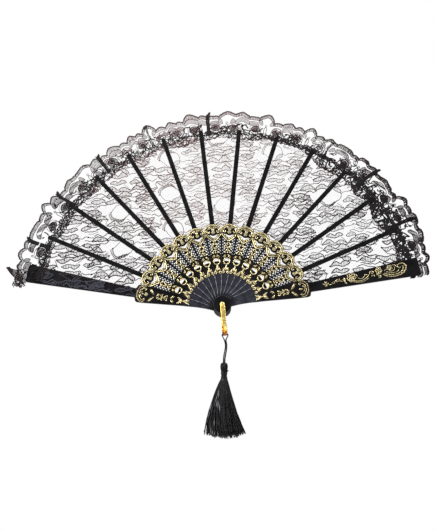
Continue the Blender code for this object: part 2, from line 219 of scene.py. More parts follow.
class Relief(Shape):
    """Rounded bars and domes raised from the face of a blade; base is the height of the face."""

    # How far a bar or a dome reaches into the face it stands on.
    SUNK = 0.03

    def __init__(self, base):
        super().__init__()
        self.base = base

    def on_face(self, flat, closed=False):
        path = np.column_stack([flat, np.full(len(flat), self.base - self.SUNK)])
        along = tangents(path, closed)
        return path, np.column_stack([-along[:, 1], along[:, 0], np.zeros(len(path))])

    def bar(self, points, width, height=0.24, step=0.45, closed=False, curved=True):
        """A rounded bar along points of (u, r), with tapering ends."""
        flat = smooth(points, step, closed) if curved else np.asarray(points, float)
        path, side = self.on_face(flat, closed)
        share = np.ones(len(path))
        if not closed:
            gone = distances(flat)
            share = 0.35 + 0.65 * np.sqrt(np.clip(np.minimum(gone, gone[-1] - gone) / width, 0, 1))
        up = np.tile([0.0, 0.0, 1.0], (len(path), 1))
        swept(self, path, side, up, RIDGE, width * share, (height + self.SUNK) * share, closed)

    def pair(self, points, width, height=0.24, **how):
        self.bar(points, width, height, **how)
        self.bar(mirrored(points), width, height, **how)

    def dome(self, centre, radii, height, rings=4, around=18, dimple=0.0):
        """A low dome, dimpled in its middle if asked."""
        share = np.arange(rings + 1)[:, None] / rings
        level = np.cos(share * math.pi / 2).clip(0) ** 0.8 * (share < 1) - dimple * np.maximum(0, 1 - share * 2.2)
        turn = 2 * math.pi * np.arange(around) / around
        reach = np.maximum(share, 0.04)
        points = np.stack([centre[0] + radii[0] * reach * np.cos(turn), centre[1] + radii[1] * reach * np.sin(turn),
                           self.base - self.SUNK + (height + self.SUNK) * level + 0 * turn], -1)
        self.add(points, *skin(rings + 1, around, True))

    def fluted(self, points, width, height, flutes):
        """A wide band with ribs across it, like the edge of a shell."""
        path, side = self.on_face(smooth(points, 0.2))
        share = np.linspace(0, 1, len(path))[:, None]
        wave = 0.5 + 0.5 * np.cos(2 * math.pi * flutes * share)
        ends = np.sqrt(np.clip(np.minimum(share, 1 - share) * 14, 0.1, 1))
        across = np.linspace(0.5, -0.5, 9)
        crown = np.sqrt(np.clip(1 - (2 * across) ** 4, 0, 1))
        points = path[:, None] + side[:, None] * (across[None, :, None] * (width * ends)[:, :, None])
        level = crown * (0.55 + 0.45 * wave * np.sqrt(np.clip(across + 0.7, 0, 1)))
        points[..., 2] += (height + self.SUNK) * level * ends
        self.add(points, *skin(len(path), 9))

    def flower(self, centre, radius, petals, width, turn=0.0):
        self.dome(centre, (radius * 0.26, radius * 0.26), 0.2, 2, 8)
        for i in range(petals):
            points = []
            for reach, swing in ((0.3, 0), (0.75, 0.42), (1, 0), (0.75, -0.42), (0.32, 0)):
                angle = turn + 2 * math.pi * i / petals + swing
                out = radius * reach
                points.append((centre[0] + out * math.sin(angle), centre[1] + out * math.cos(angle)))
            self.bar(points, 1.3 * width, 0.2, 0.35)


def plate(name, outline, holes, thick, bevel, material):
    """A flat blade with rounded edges, its front at half the thickness."""
    data = bpy.data.curves.new(name, "CURVE")
    data.dimensions = "2D"
    data.fill_mode = "BOTH"
    data.extrude = (thick / 2 - bevel) * MM
    data.bevel_depth = bevel * MM
    data.bevel_resolution = 2
    data.offset = -bevel * MM
    for loop in [outline] + holes:
        spline = data.splines.new("POLY")
        spline.points.add(len(loop) - 1)
        for point, (x, y) in zip(spline.points, loop):
            point.co = (x * MM, y * MM, 0.0, 1.0)
        spline.use_cyclic_u = True
    maker = linked(name + "_outline", data)
    bpy.context.view_layer.update()
    mesh = bpy.data.meshes.new_from_object(maker.evaluated_get(bpy.context.evaluated_depsgraph_get()))
    bpy.data.objects.remove(maker, do_unlink=True)
    mesh.name = name
    mesh.materials.clear()
    mesh.materials.append(material)
    return mesh


def thin_back(mesh, by, at_front=False):
    """Moves the back of a blade's outer part forwards, or its front backwards."""
    for vertex in mesh.vertices:
        if vertex.co.y > (COUNTRY_TOP + 0.3) * MM and (vertex.co.z > 0) == at_front:
            vertex.co.z += -by * MM if at_front else by * MM


def placed(name, mesh, slot, angle, y, body):
    """Stands a blade's piece up in its place in the fan."""
    obj = linked(name, mesh)
    obj.rotation_euler = (math.radians(90), math.radians(90 - angle), 0.0)
    obj.location = (0.0, y * MM, 0.0)
    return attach(obj, body)


# ----------------------------------------------------------------- materials


class Nodes:
    """Short calls for building a material's node tree."""

    def __init__(self, name):
        self.material = bpy.data.materials.new(name)
        self.material.use_nodes = True
        self.tree = self.material.node_tree
        self.shader = self.tree.nodes["Principled BSDF"]
        self.place = self.node("ShaderNodeTexCoord").outputs["Object"]

    def put(self, target, value):
        """Links a node's output to the socket, or sets the socket to a plain value."""
        if isinstance(value, bpy.types.NodeSocket):
            self.tree.links.new(value, target)
        else:
            target.default_value = value

    def node(self, kind, **values):
        made = self.tree.nodes.new(kind)
        for key, value in values.items():
            if hasattr(made, key):
                setattr(made, key, value)
            else:
                self.put(made.inputs[key.replace("_", " ")], value)
        return made

    def noise(self, scale, detail):
        made = self.node("ShaderNodeTexNoise", Scale=scale, Detail=detail, Roughness=0.55, Vector=self.place)
        return made.outputs["Fac"]

    def axis(self, name):
        return self.node("ShaderNodeSeparateXYZ", Vector=self.place).outputs[name]

    def tint(self):
        return self.node("ShaderNodeAttribute", attribute_name="tint").outputs["Fac"]

    def ramp(self, source, stops):
        made = self.node("ShaderNodeValToRGB", Fac=source)
        elements = made.color_ramp.elements
        while len(elements) < len(stops):
            elements.new(0.5)
        for element, (position, *colour) in zip(elements, stops):
            element.position = position
            element.color = (*colour, 1.0)
        return made.outputs["Color"]

    def range(self, source, low, high, start=0.0, end=1.0):
        made = self.node("ShaderNodeMapRange", Value=source, From_Min=start, From_Max=end, To_Min=low, To_Max=high)
        return made.outputs["Result"]

    def math(self, operation, *values):
        made = self.node("ShaderNodeMath", operation=operation)
        for socket, value in zip(made.inputs, values):
            self.put(socket, value)
        return made.outputs[0]

    def mix(self, share, first, second):
        made = self.node("ShaderNodeMix", data_type="RGBA")
        for socket, value in ((0, share), (6, first), (7, second)):
            self.put(made.inputs[socket], value)
        return made.outputs[2]

    def bump(self, height, strength, distance):
        return self.node("ShaderNodeBump", Strength=strength, Distance=distance, Height=height).outputs["Normal"]

    def finish(self, **values):
        for key, value in values.items():
            self.put(self.shader.inputs[key.replace("_", " ")], value)
        return self.material


def black_plastic():
    m = Nodes("black_plastic")
    handling = m.noise(90, 5)
    # The narrow part of a stick, between its head and its ring, gets a dull grey painted sheen for the light caught on
    # the plastic there.
    y = m.axis("Y")
    painted_sheen = m.math("MULTIPLY", m.range(y, 0, 1, 0.008, 0.016), m.range(y, 1, 0, 0.032, 0.042))
    clean = m.ramp(handling, [(0.35, 0.0012, 0.001, 0.0014), (0.7, 0.0032, 0.0026, 0.0036)])
    grey = m.ramp(handling, [(0.36, 0.008, 0.008, 0.0115), (0.5, 0.015, 0.015, 0.021), (0.64, 0.03, 0.03, 0.038)])
    return m.finish(Base_Color=m.mix(painted_sheen, clean, grey), Roughness=m.range(handling, 0.24, 0.38, 0.3, 0.7),
                    Normal=m.bump(m.noise(2600, 2), 0.25, 0.00004), IOR=1.28)


def painted_edge_highlight():
    """A painted highlight: pale grey on the edges of the sticks near the rivet, for the light caught there."""
    m = Nodes("painted_edge_highlight")
    colour = m.ramp(m.noise(380, 3), [(0.36, 0.01, 0.01, 0.014), (0.5, 0.06, 0.06, 0.075), (0.66, 0.24, 0.24, 0.28)])
    return m.finish(Base_Color=colour, Roughness=m.range(m.noise(90, 5), 0.2, 0.4), IOR=1.5)


def gold_paint():
    m = Nodes("gold_paint")
    patch = m.noise(420, 4)
    colour = m.ramp(m.noise(900, 4), [(0.33, 0.08, 0.055, 0.02), (0.43, 0.46, 0.36, 0.14), (0.53, 0.9, 0.77, 0.42),
                                      (0.64, 1.0, 0.94, 0.7)])
    # The relief is black at its feet and gold over its crests, which draws a dark line round each shape.
    lift = m.math("MODULO", m.math("SUBTRACT", m.axis("Z"), 0.00037), 0.0006)
    gold_above_feet = m.range(lift, 0, 1, 0.0001, 0.0002)
    grain = m.math("ADD", m.math("MULTIPLY", patch, 0.7), m.math("MULTIPLY", m.noise(5200, 2), 0.3))
    return m.finish(Base_Color=m.mix(gold_above_feet, (0.018, 0.012, 0.006, 1), colour),
                    Roughness=m.range(patch, 0.36, 0.2, 0.3, 0.7), Normal=m.bump(grain, 0.35, 0.00008), Metallic=0.9)


def bail_gold():
    m = Nodes("bail_gold")
    cells = m.node("ShaderNodeTexVoronoi", Scale=620, Vector=m.place)
    patch = m.noise(330, 3)
    # Painted shade: the colour darkens towards the bottom of the U and along its left edge.
    low, left = m.range(m.axis("Z"), 0.36, 0, -0.031, -0.022), m.range(m.axis("X"), 0.22, 0, -0.0023, -0.0006)
    level = m.math("SUBTRACT", m.math("SUBTRACT", patch, low), left)
    colour = m.ramp(level, [(0.06, 0.16, 0.045, 0.004), (0.24, 0.62, 0.27, 0.03), (0.44, 0.96, 0.66, 0.16),
                            (0.6, 1.0, 0.88, 0.42)])
    return m.finish(Base_Color=colour, Roughness=m.range(patch, 0.2, 0.34),
                    Normal=m.bump(cells.outputs["Distance"], 0.6, 0.0002), Metallic=0.92)


def thread_black(name, grain, stops, roughness, index):
    """Black thread, which its points' tint turns to another colour."""
    m = Nodes(name)
    ply = m.noise(grain, 3)
    return m.finish(Base_Color=m.ramp(m.tint(), stops), Roughness=m.range(ply, *roughness),
                    Normal=m.bump(ply, 0.4, 0.0001), IOR=index)


def lace_thread():
    # Tint 0 is a painted grey sheen, for the lace over the rear guard; from tint 0.04 up the thread runs from black to
    # warm brown.
    return thread_black("lace_thread", 1800, [(0, 0.032, 0.032, 0.043), (0.04, 0.0028, 0.0026, 0.0034),
                                              (0.5, 0.021, 0.01, 0.011), (1, 0.085, 0.036, 0.036)], (0.55, 0.8), 1.24)


def rayon():
    # Tint 1 is a painted highlight, pale grey streaks along some threads of the skirt.
    return thread_black("rayon", 900, [(0, 0.001, 0.001, 0.0014), (0.5, 0.009, 0.009, 0.0115), (1, 0.22, 0.22, 0.245)],
                        (0.26, 0.44), 1.27)


def pale_floor():
    m = Nodes("pale_floor")
    return m.finish(Base_Color=m.ramp(m.noise(40, 4), [(0.3, 0.8, 0.8, 0.8), (0.7, 0.84, 0.84, 0.84)]), Roughness=0.8)


# ------------------------------------------------------------ blades, plastic

STICK_SIDE = [
    (3.9, 8.35), (3.5, 11.5), (3.4, 17.0), (3.7, 26.0), (4.2, 34.0), (4.8, 42.0),
    (5.5, 50.0), (6.4, 57.5), (7.6, 66.5), (8.4, 73.5), (8.5, 76.5),
]
ARCH_SIDE = [
    (8.5, 76.5), (9.0, 79.5), (9.15, 82.3), (8.9, 84.9), (8.0, 87.3), (6.4, 89.3), (4.5, 90.4), (2.6, 91.0),
]
GUARD_SIDE = [
    (3.9, 8.35), (3.6, 11.5), (3.35, 18.0), (3.6, 27.0), (4.2, 34.0), (4.8, 41.0),
    (5.5, 48.0), (6.4, 56.0), (7.9, 70.0), (9.0, 80.0), (9.5, 86.0), (9.4, 89.2), (8.4, 90.8),
]
GUARD_FOOT_HALF = 4.95
GUARD_END_HALF = 9.8
CHEVRON = [(4.6, 79.35), (2.7, 78.85), (1.5, 78.2), (0.0, 77.95), (-1.5, 78.2), (-2.7, 78.85), (-4.6, 79.35),
           (-3.2, 77.5), (0.0, 74.9), (3.2, 77.5)]
RING_AT = (0.0, 49.4)
RING_HOLE = 2.7
RING_RADIUS = 3.22
# Small holes on the right half of a feather: (u, r, radius).
BEAD_HOLES = [
    (3.5, 59.4, 0.72), (3.7, 62.6, 0.8), (3.85, 65.8, 0.84), (4.05, 69.0, 0.84), (4.2, 72.2, 0.78),
    (5.1, 57.7, 0.52), (5.3, 60.9, 0.66), (5.55, 64.2, 0.72), (5.8, 67.4, 0.74), (6.0, 70.6, 0.74), (5.95, 73.7, 0.6),
]


def both_sides(side):
    """The outline of a blade from its right side, with the round head under the rivet."""
    side = [tuple(point) for point in side]
    end = math.degrees(math.atan2(STICK_SIDE[0][1], STICK_SIDE[0][0])) + 360
    return side + mirrored(side)[::-1] + arc((0, 0), HEAD_RADIUS, 180 * 3 - end, end, 28)[1:-1]


def stick_mesh(material):
    side = list(smooth(STICK_SIDE, 1.6)) + list(smooth(ARCH_SIDE, 0.7))[1:]
    side += [(RIB_HALF, COUNTRY_TOP + 0.6), *arc((0, STICK_LENGTH - 2.35), 2.35, 0, 90, 5)]
    outline = both_sides(side)
    del outline[len(side)]
    holes = [arc((0, 0), PIVOT_HOLE, 0, 345, 23), CHEVRON, arc(RING_AT, RING_HOLE, 4, 176, 14)]
    holes += [arc((sign * u, r), radius, 0, 324, 9) for u, r, radius in BEAD_HOLES for sign in (1, -1)]
    mesh = plate("stick_plate", outline, holes, STICK_THICK, 0.19, material)
    thin_back(mesh, STICK_THICK - RIB_THICK)
    return mesh


def guard_mesh(name, leaf_in_front, material):
    half, end = GUARD_END_HALF, GUARD_LENGTH
    full = list(smooth(GUARD_SIDE, 1.2)) + [(6.6, 91.5), (GUARD_FOOT_HALF + 0.5, 91.9), (GUARD_FOOT_HALF, 92.6),
                                            (half, end - 2.6), (half - 0.35, end - 1.2), (half - 1.3, end - 0.25),
                                            (half - 2.6, end)]
    # A few small scallops run along both edges where the country begins.
    bites = [(u + (0.35 * abs(math.sin(math.pi * (r - 28) / 2.5)) - 0.15) * (28 < r < 38), r) for u, r in full]
    mesh = plate(name, both_sides(bites), [arc((0, 0), PIVOT_HOLE, 0, 345, 23)], GUARD_THICK, 0.35, material)
    thin_back(mesh, 0.3, leaf_in_front)
    return mesh


# ------------------------------------------------------------- blades, relief


def arch_relief(face):
    """The shell-edged arch at the top of a blade's country, with its two scrolls and its ball."""
    face.fluted([(-7.2, 80.4), (-8.05, 82.6), (-7.75, 85.2), (-6.2, 87.6), (-3.6, 89.2), (0, 89.75), (3.6, 89.2),
                (6.2, 87.6), (7.75, 85.2), (8.05, 82.6), (7.2, 80.4)], 1.9, 0.27, 27)
    face.pair([(0.2, 87.75), (2.6, 87.5), (4.9, 86.3), (6.2, 84.3), (6.3, 82.4), (5.4, 81.2), (4.3, 81.5),
              (4.1, 82.6), (4.9, 83.2)], 0.75)
    face.pair([(0.3, 86.5), (1.9, 86.4), (3.2, 85.9)], 0.7)
    face.bar([(0, 87.2), (0, 85.6), (0, 83.4)], 2.3, 0.22)
    face.pair([(1.1, 85.9), (1.0, 84.6), (0.7, 83.4)], 0.5, 0.27)
    face.dome((0, 81.6), (2.25, 2.2), 0.3, dimple=0.35)
    face.pair([(7.1, 79.9), (8.2, 79.6), (8.9, 80.3)], 0.7)


def chevron_relief(face, half=8.3, foot=79.0, tip=71.2):
    middle = (half * 0.5, (foot + tip) / 2 - 0.35)
    face.pair([(half, foot), middle, (0.15, tip)], 0.95)
    inner = [(half - 2.6, foot + 0.1), (half * 0.42, (foot + tip) / 2 + 1.3), (0.1, tip + 2.5)]
    face.pair(inner, 0.8, 0.27)
    face.bar([(0, tip + 2.6), (0, tip - 0.3)], 1.3, 0.2)
    face.pair([(half - 0.6, foot + 0.45), (half - 2.4, foot + 0.6)], 1.0, 0.2)


def butterfly_relief(face, at=63.4):
    """The cross-shaped scroll on the axis of a blade."""
    face.dome((0, at + 0.1), (1.15, 1.3), 0.28, dimple=0.3)
    face.pair([(0.5, at + 1.2), (1.7, at + 2.3), (2.7, at + 4.2), (1.9, at + 5.6), (0.9, at + 4.9), (1.4, at + 3.9)],
              0.75)
    face.pair([(0.15, at + 6.9), (1.0, at + 5.9), (0.9, at + 4.2)], 0.7)
    face.pair([(0.9, at + 0.5), (2.1, at + 1.0), (3.2, at + 0.6), (3.0, at - 0.4)], 0.7)
    face.pair([(0.6, at - 1.1), (1.5, at - 2.3), (2.7, at - 3.9), (1.9, at - 4.9), (1.0, at - 4.0)], 0.75)
    face.bar([(0, at - 1.2), (0, at - 3.9)], 0.8)
    face.dome((0, at - 4.6), (0.6, 0.6), 0.24)


def roof_relief(face, apex=57.0, reach=4.9):
    face.pair([(0.0, apex), (reach * 0.5, apex - 1.6), (reach, apex - 4.0)], 0.95, curved=False)
    face.pair([(0.0, apex - 1.35), (reach * 0.45, apex - 2.8), (reach * 0.82, apex - 5.0)], 0.6, curved=False)


def pedestal_relief(face, top=46.0, foot=36.6):
    """The baluster under the ring and the pinked edge it stands on."""
    face.pair([(0.0, top - 0.2), (1.5, top + 0.1), (2.6, top + 1.0)], 0.7)
    face.bar([(-1.7, top - 1.5), (1.7, top - 1.5)], 0.75, curved=False)
    face.bar([(0, top - 0.9), (0, top - 4.4)], 1.6, 0.26)
    face.pair([(0.6, top - 3.3), (1.1, top - 5.2), (2.3, top - 7.0), (3.4, top - 7.8)], 1.0)
    face.bar([(0, top - 3.9), (0, top - 7.1)], 1.7, 0.24)
    face.pair(arc((4.35, 41.7), 2.35, 150, 236, 6), 0.5)
    for u, r, size in ((1.75, foot + 0.35, 1.0), (3.75, foot - 0.1, 1.1)):
        face.dome((u, r), (size, size * 1.15), 0.27, dimple=0.25)
        face.dome((-u, r), (size, size * 1.15), 0.27, dimple=0.25)
    face.pair([(0.4, foot + 1.4), (2.3, foot + 1.6), (3.9, foot + 1.3)], 0.8)
    face.pair([(2.1, foot - 0.3), (2.6, foot - 1.5)], 0.6)


def stick_relief(material):
    """All the gilded relief on the front of one stick."""
    face = Relief(STICK_THICK / 2)
    arch_relief(face)
    chevron_relief(face)
    butterfly_relief(face)
    roof_relief(face)
    face.bar(arc(RING_AT, RING_RADIUS, 0, 340, 17), 1.0, 0.3, closed=True)
    pedestal_relief(face)
    return face.mesh("stick_relief_maker", material)


def ring_dish(material):
    """The hollow half of the ring, sloping from its inner rim to the back of the stick."""
    share = np.linspace(0, 1, 6)[:, None]
    turn = np.radians(180 + 180 * np.arange(17) / 16)
    r = RING_AT[1] + RING_HOLE * np.sin(turn) * (1 - share) + 0.25 * share
    d = STICK_THICK / 2 + 0.02 - 0.62 * np.sin(share * math.pi / 2)
    dish = Shape()
    dish.add(np.stack(np.broadcast_arrays(RING_HOLE * np.cos(turn), r, d), -1), *skin(6, 17, open_rows=True))
    return dish.mesh("dish_maker", material)


def black_beads(material):
    """The beaded black feather between the gilded parts of a stick."""
    face = Relief(STICK_THICK / 2)
    for u, r, radius in BEAD_HOLES:
        if radius > 0.7:
            for sign in (1, -1):
                face.bar(arc((sign * u, r), radius + 0.28, 0, 330, 11), 0.32, 0.16, closed=True)
    face.pair([(5.3, 57.2), (5.75, 61.0), (6.2, 65.5), (6.5, 69.5), (6.6, 72.6)], 0.5, height=0.18)
    return face.mesh("stick_bead_maker", material)


def edge_highlight_lines(material):
    """A thin rounded lip along both edges of a stick, from its head to its ring, to carry the painted edge highlight.
    """
    face = Relief(STICK_THICK / 2)
    face.pair([(3.35, 9.4), (3.05, 13.0), (2.95, 18.0), (3.2, 24.0), (3.6, 30.0), (3.95, 34.5)], 0.5, height=0.2,
              step=1.2)
    return face.mesh("edge_highlight_maker", material)


def guard_relief(front, material):
    """The gilded relief on the front of a guard."""
    face = Relief(GUARD_THICK / 2)
    thin = 0.75 if front else 1.0
    ring_at = (0.0, 47.4)
    face.fluted([(-7.6, 80.6), (-8.4, 83.0), (-8.0, 86.0), (-6.2, 88.2), (-3.4, 89.6), (0, 90.0), (3.4, 89.6),
                (6.2, 88.2), (8.0, 86.0), (8.4, 83.0), (7.6, 80.6)], 1.7 * thin, 0.2, 25)
    face.pair([(0.3, 88.0), (3.0, 87.4), (5.2, 85.9), (6.4, 83.9), (6.3, 82.0), (5.3, 81.2), (4.5, 82.1),
              (5.2, 83.0)], 0.7 * thin)
    face.pair([(0.2, 86.6), (1.6, 86.2), (2.8, 85.2), (2.5, 84.2)], 0.6 * thin)
    if front:
        face.bar([(0.2, 84.6), (0.1, 82.5), (0, 80.0)], 1.9, 0.24)
        face.bar([(-0.9, 81.0), (0.9, 81.0)], 0.5)
    else:
        face.dome((0.2, 80.6), (2.35, 2.35), 0.28, dimple=0.4)
        face.bar([(0.2, 85.3), (0.2, 83.0)], 1.2)
    face.pair([(8.2, 77.9), (4.4, 74.9), (0.1, 71.3)], 1.35, 0.22, curved=False)
    face.pair([(7.6, 79.1), (4.0, 76.3), (0.1, 72.9)], 0.5, 0.26, curved=False)
    butterfly_relief(face, 63.2)
    roof_relief(face, 55.3, 4.7)
    face.bar(arc(ring_at, 3.0, 165, 375, 14), 1.0)
    face.bar(arc(ring_at, 1.8, 190, 350, 9), 0.5)
    face.pair([(0.3, 44.0), (1.5, 43.4), (2.5, 43.9)], 0.7)
    face.bar([(0, 43.6), (0, 40.4)], 1.3)
    face.pair([(0.4, 41.2), (1.2, 38.8), (2.6, 37.2)], 0.95)
    face.bar([(0, 41.0), (0, 37.4)], 1.2)
    face.pair([(1.2, 38.2), (1.8, 36.2), (3.0, 34.4)], 0.8)
    face.pair([(0.3, 38.0), (0.9, 36.4), (0.7, 35.0)], 0.6)
    if front:
        guard_scroll(face)
    return face.mesh("guard_relief_maker", material)


def guard_scroll(face):
    """The flowering scroll printed in gold along the outer part of the front guard."""
    def line(points, width=0.55):
        face.bar(points, 1.3 * width, 0.2, 0.5)

    face.flower((0.0, 108.9), 2.4, 4, 0.5)
    line([(0.2, 105.2), (-0.3, 106.4)], 0.5)
    line([(2.0, 111.9), (1.3, 113.6), (1.6, 115.2)], 0.7)
    line([(-0.6, 115.0), (0.9, 116.9), (0.2, 118.6)])
    line([(0.6, 117.2), (-1.4, 119.2), (-2.5, 121.6), (-2.3, 123.6), (-1.2, 124.6)])
    line([(0.0, 119.6), (-0.6, 121.8), (-0.3, 124.6), (0.8, 126.3)], 0.6)
    line([(-2.2, 126.0), (-0.6, 127.5), (1.6, 128.4)], 0.6)
    line([(-3.0, 128.4), (-0.4, 128.9), (2.7, 128.6)], 0.6)
    line([(3.3, 127.9), (2.6, 129.3), (3.6, 130.2), (4.2, 129.0)], 0.6)
    face.flower((-1.9, 136.0), 4.6, 7, 0.55, 0.3)
    face.flower((-2.0, 136.1), 2.5, 5, 0.5, 0.0)
    line([(0.6, 131.4), (0.9, 134.2), (1.6, 137.2), (2.8, 140.4), (3.5, 143.9), (3.2, 147.4), (1.9, 150.6),
         (0.3, 153.2), (-1.6, 154.4)], 0.65)
    line([(2.6, 133.6), (3.1, 137.0), (4.2, 140.8), (4.9, 144.4), (4.6, 148.0), (3.3, 151.6), (2.2, 154.2)], 0.5)
    line([(-0.2, 142.4), (1.3, 144.6), (1.2, 147.4), (-0.2, 149.4), (-1.9, 150.6), (-1.8, 152.2), (-0.5, 152.0)])
    line([(-4.4, 140.6), (-3.0, 142.0), (-1.2, 142.2)], 0.5)
    line([(-1.0, 155.6), (-3.2, 155.9), (-4.4, 157.6), (-3.6, 159.4), (-1.9, 159.2), (-1.6, 157.6), (-2.7, 157.2)])
    line([(1.4, 156.6), (0.2, 158.4), (1.2, 160.2), (2.4, 159.2)], 0.5)
    face.flower((-3.4, 165.2), 3.5, 6, 0.5, 0.2)
    line([(-6.2, 163.0), (-4.9, 165.0), (-6.3, 167.2)], 0.45)
    line([(1.0, 162.0), (0.2, 164.8), (-0.5, 168.0)], 0.6)
    line([(2.9, 163.6), (4.4, 165.0), (2.9, 166.4), (1.5, 165.0), (2.5, 163.9)], 0.5)
    line([(1.0, 168.8), (3.4, 171.6), (5.0, 175.6), (5.6, 180.4), (5.3, 185.2), (3.8, 189.8), (0.9, 193.2),
         (-2.6, 194.4), (-5.6, 192.8), (-6.8, 189.6), (-5.8, 186.6), (-3.6, 185.4), (-2.2, 187.2), (-3.2, 189.2)],
         0.75)
    line([(0.2, 170.2), (2.0, 173.6), (3.2, 177.6), (3.6, 182.0), (2.8, 186.4), (0.8, 189.8), (-1.8, 191.4),
         (-3.9, 190.8)], 0.6)
    middle = smooth([(0.9, 171.0), (3.0, 174.2), (4.1, 178.6), (4.3, 183.2), (3.2, 187.8), (0.4, 191.4),
                    (-3.0, 192.6)], 1.25)
    for u, r in middle:
        face.dome((u, r), (0.4, 0.4), 0.18, rings=2, around=8)
    line([(-0.8, 172.6), (0.6, 176.0), (1.6, 180.2), (1.4, 184.0), (-0.4, 186.6)], 0.5)
    face.flower((-4.3, 177.2), 2.8, 5, 0.5, 0.5)
    line([(-2.4, 171.0), (-3.2, 173.4), (-2.6, 175.2)], 0.5)
    line([(-1.0, 175.8), (-0.4, 178.6), (-1.2, 181.2), (-3.0, 182.4), (-4.8, 181.6)], 0.55)
    line([(-6.6, 180.0), (-6.2, 183.0), (-4.4, 184.4)], 0.5)


# ------------------------------------------------------ rivet, bail and tassel

BAIL_INNER = 9.05
BAIL_THICK = 1.4
BAIL_WIDTH = 4.7
BAIL_DROP = 30.6
BAIL_TILT = 5.4
CAP_RADIUS = 2.0
PIN_RADIUS = 1.4

SLAB = [(-0.5, -0.28), (-0.5, 0.28), (-0.46, 0.42), (-0.36, 0.5), (-0.18, 0.5), (0.0, 0.5), (0.18, 0.5),
        (0.36, 0.5), (0.46, 0.42), (0.5, 0.28), (0.5, -0.28), (0.46, -0.42), (0.36, -0.5), (0.18, -0.5),
        (0.0, -0.5), (-0.18, -0.5), (-0.36, -0.5), (-0.46, -0.42)]


def piece(obj, slot, body, *nodes):
    """Attaches a finished piece to its body and hides the nodes it stands for; slot is not used."""
    if nodes:
        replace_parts(obj, *nodes)
    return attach(obj, body)


def hammered(points, size, depth):
    """How far each point sinks into the nearest of many scattered dents."""
    low = points.min(0) - 1
    high = points.max(0) + 1
    count = int(np.prod((high - low) / size) * 1.1)
    centres = low + (high - low) * RANDOM.random((count, 3))
    nearest = np.full(len(points), 1e9)
    for start in range(0, count, 400):
        block = centres[start:start + 400]
        gaps = np.linalg.norm(points[:, None, :] - block[None], axis=2).min(1)
        nearest = np.minimum(nearest, gaps)
    return depth * (np.clip(nearest / size, 0, 1) ** 2 - 0.5)


def bail(material):
    """A U of hammered strip, dented all over, with the rivet through its two ends."""
    middle = BAIL_INNER + BAIL_THICK / 2
    bend = BAIL_DROP - BAIL_INNER - BAIL_THICK
    path = [(0, -middle, z) for z in np.arange(2.3, -bend, -0.4)]
    path += [(0, middle * math.cos(t), -bend + middle * math.sin(t)) for t in np.radians(np.linspace(180, 360, 64))]
    path += [(0, middle, z) for z in np.arange(-bend, 2.4, 0.4)]
    path = np.array(path, float)
    path = path[np.concatenate([[True], np.linalg.norm(np.diff(path, axis=0), axis=1) > 0.1])]
    side = np.tile([1.0, 0.0, 0.0], (len(path), 1))
    gone = distances(path)
    from_end = np.minimum(gone, gone[-1] - gone) / (BAIL_WIDTH / 2)
    wide = BAIL_WIDTH * np.sqrt(np.clip(1 - np.clip(1 - from_end, 0, 1) ** 2, 0.02, 1))
    shape = Shape()
    swept(shape, path, side, np.cross(side, tangents(path)), SLAB, wide, BAIL_THICK)
    points = shape.points[0]
    outward = unit(points - path.repeat(len(SLAB), 0))
    shape.points[0] = points - outward * hammered(points, 0.95, 0.32)[:, None]
    obj = shape.made("bail_strip", material)
    bpy.ops.mesh.primitive_cylinder_add(vertices=32, radius=PIVOT_HOLE * MM, depth=30 * MM,
                                        rotation=(math.radians(90), 0, 0))
    cutter = bpy.context.object
    cut = obj.modifiers.new("hole", "BOOLEAN")
    cut.operation, cut.solver, cut.object = "DIFFERENCE", "EXACT", cutter
    bpy.context.view_layer.update()
    mesh = bpy.data.meshes.new_from_object(obj.evaluated_get(bpy.context.evaluated_depsgraph_get()))
    obj.modifiers.clear()
    obj.data = mesh
    bpy.data.objects.remove(cutter, do_unlink=True)
    obj.rotation_euler = (0, math.radians(-BAIL_TILT), 0)
    piece(obj, "gold_metal", "bail_body", "bail")


def turned(name, profile, steps, material, upright=False):
    """A profile of (radius, height) turned about the rivet's axis, or about an upright one."""
    turns = 2 * np.pi * np.arange(steps) / steps
    profile = np.asarray(profile, float)[:, None]
    x, y, z = profile[..., 0] * np.cos(turns), profile[..., 0] * np.sin(turns), profile[..., 1] + 0 * turns
    shape = Shape()
    shape.add(np.stack([x, y, z] if upright else [x, z, y], -1), *skin(len(profile), steps))
    return shape.made(name, material)


def rivet(material):
    end = BAIL_INNER + BAIL_THICK + 0.3
    pin = turned("rivet_shank", [(0.2, -end), (PIN_RADIUS, -end), (PIN_RADIUS, end), (0.2, end)], 32, material)
    piece(pin, "gold_metal", "core", "rivet_pin")
    profile = [(0.05, 0.0), (CAP_RADIUS - 0.1, 0.0), (CAP_RADIUS, 0.12), (CAP_RADIUS, 0.3)]
    profile += [(CAP_RADIUS * math.cos(t), 0.3 + 0.75 * math.sin(t)) for t in np.radians((15, 30, 45, 60, 75))]
    profile.append((0.05, 1.05))
    for name, sign in (("rivet_cap_front", -1), ("rivet_cap_rear", 1)):
        cap = turned(name + "_dome", [(r, sign * (end + 0.3 + h)) for r, h in profile], 32, material)
        piece(cap, "gold_metal", "core", name)


CORD_RADIUS = 0.68
LOOP_WIDE = 2.98
LOOP_HIGH = 2.75
LOOP_AT = (2.8, -30.3)
TASSEL_TOP = -59.0
TASSEL_X = 1.7
POCKET_FLOOR = -61.6


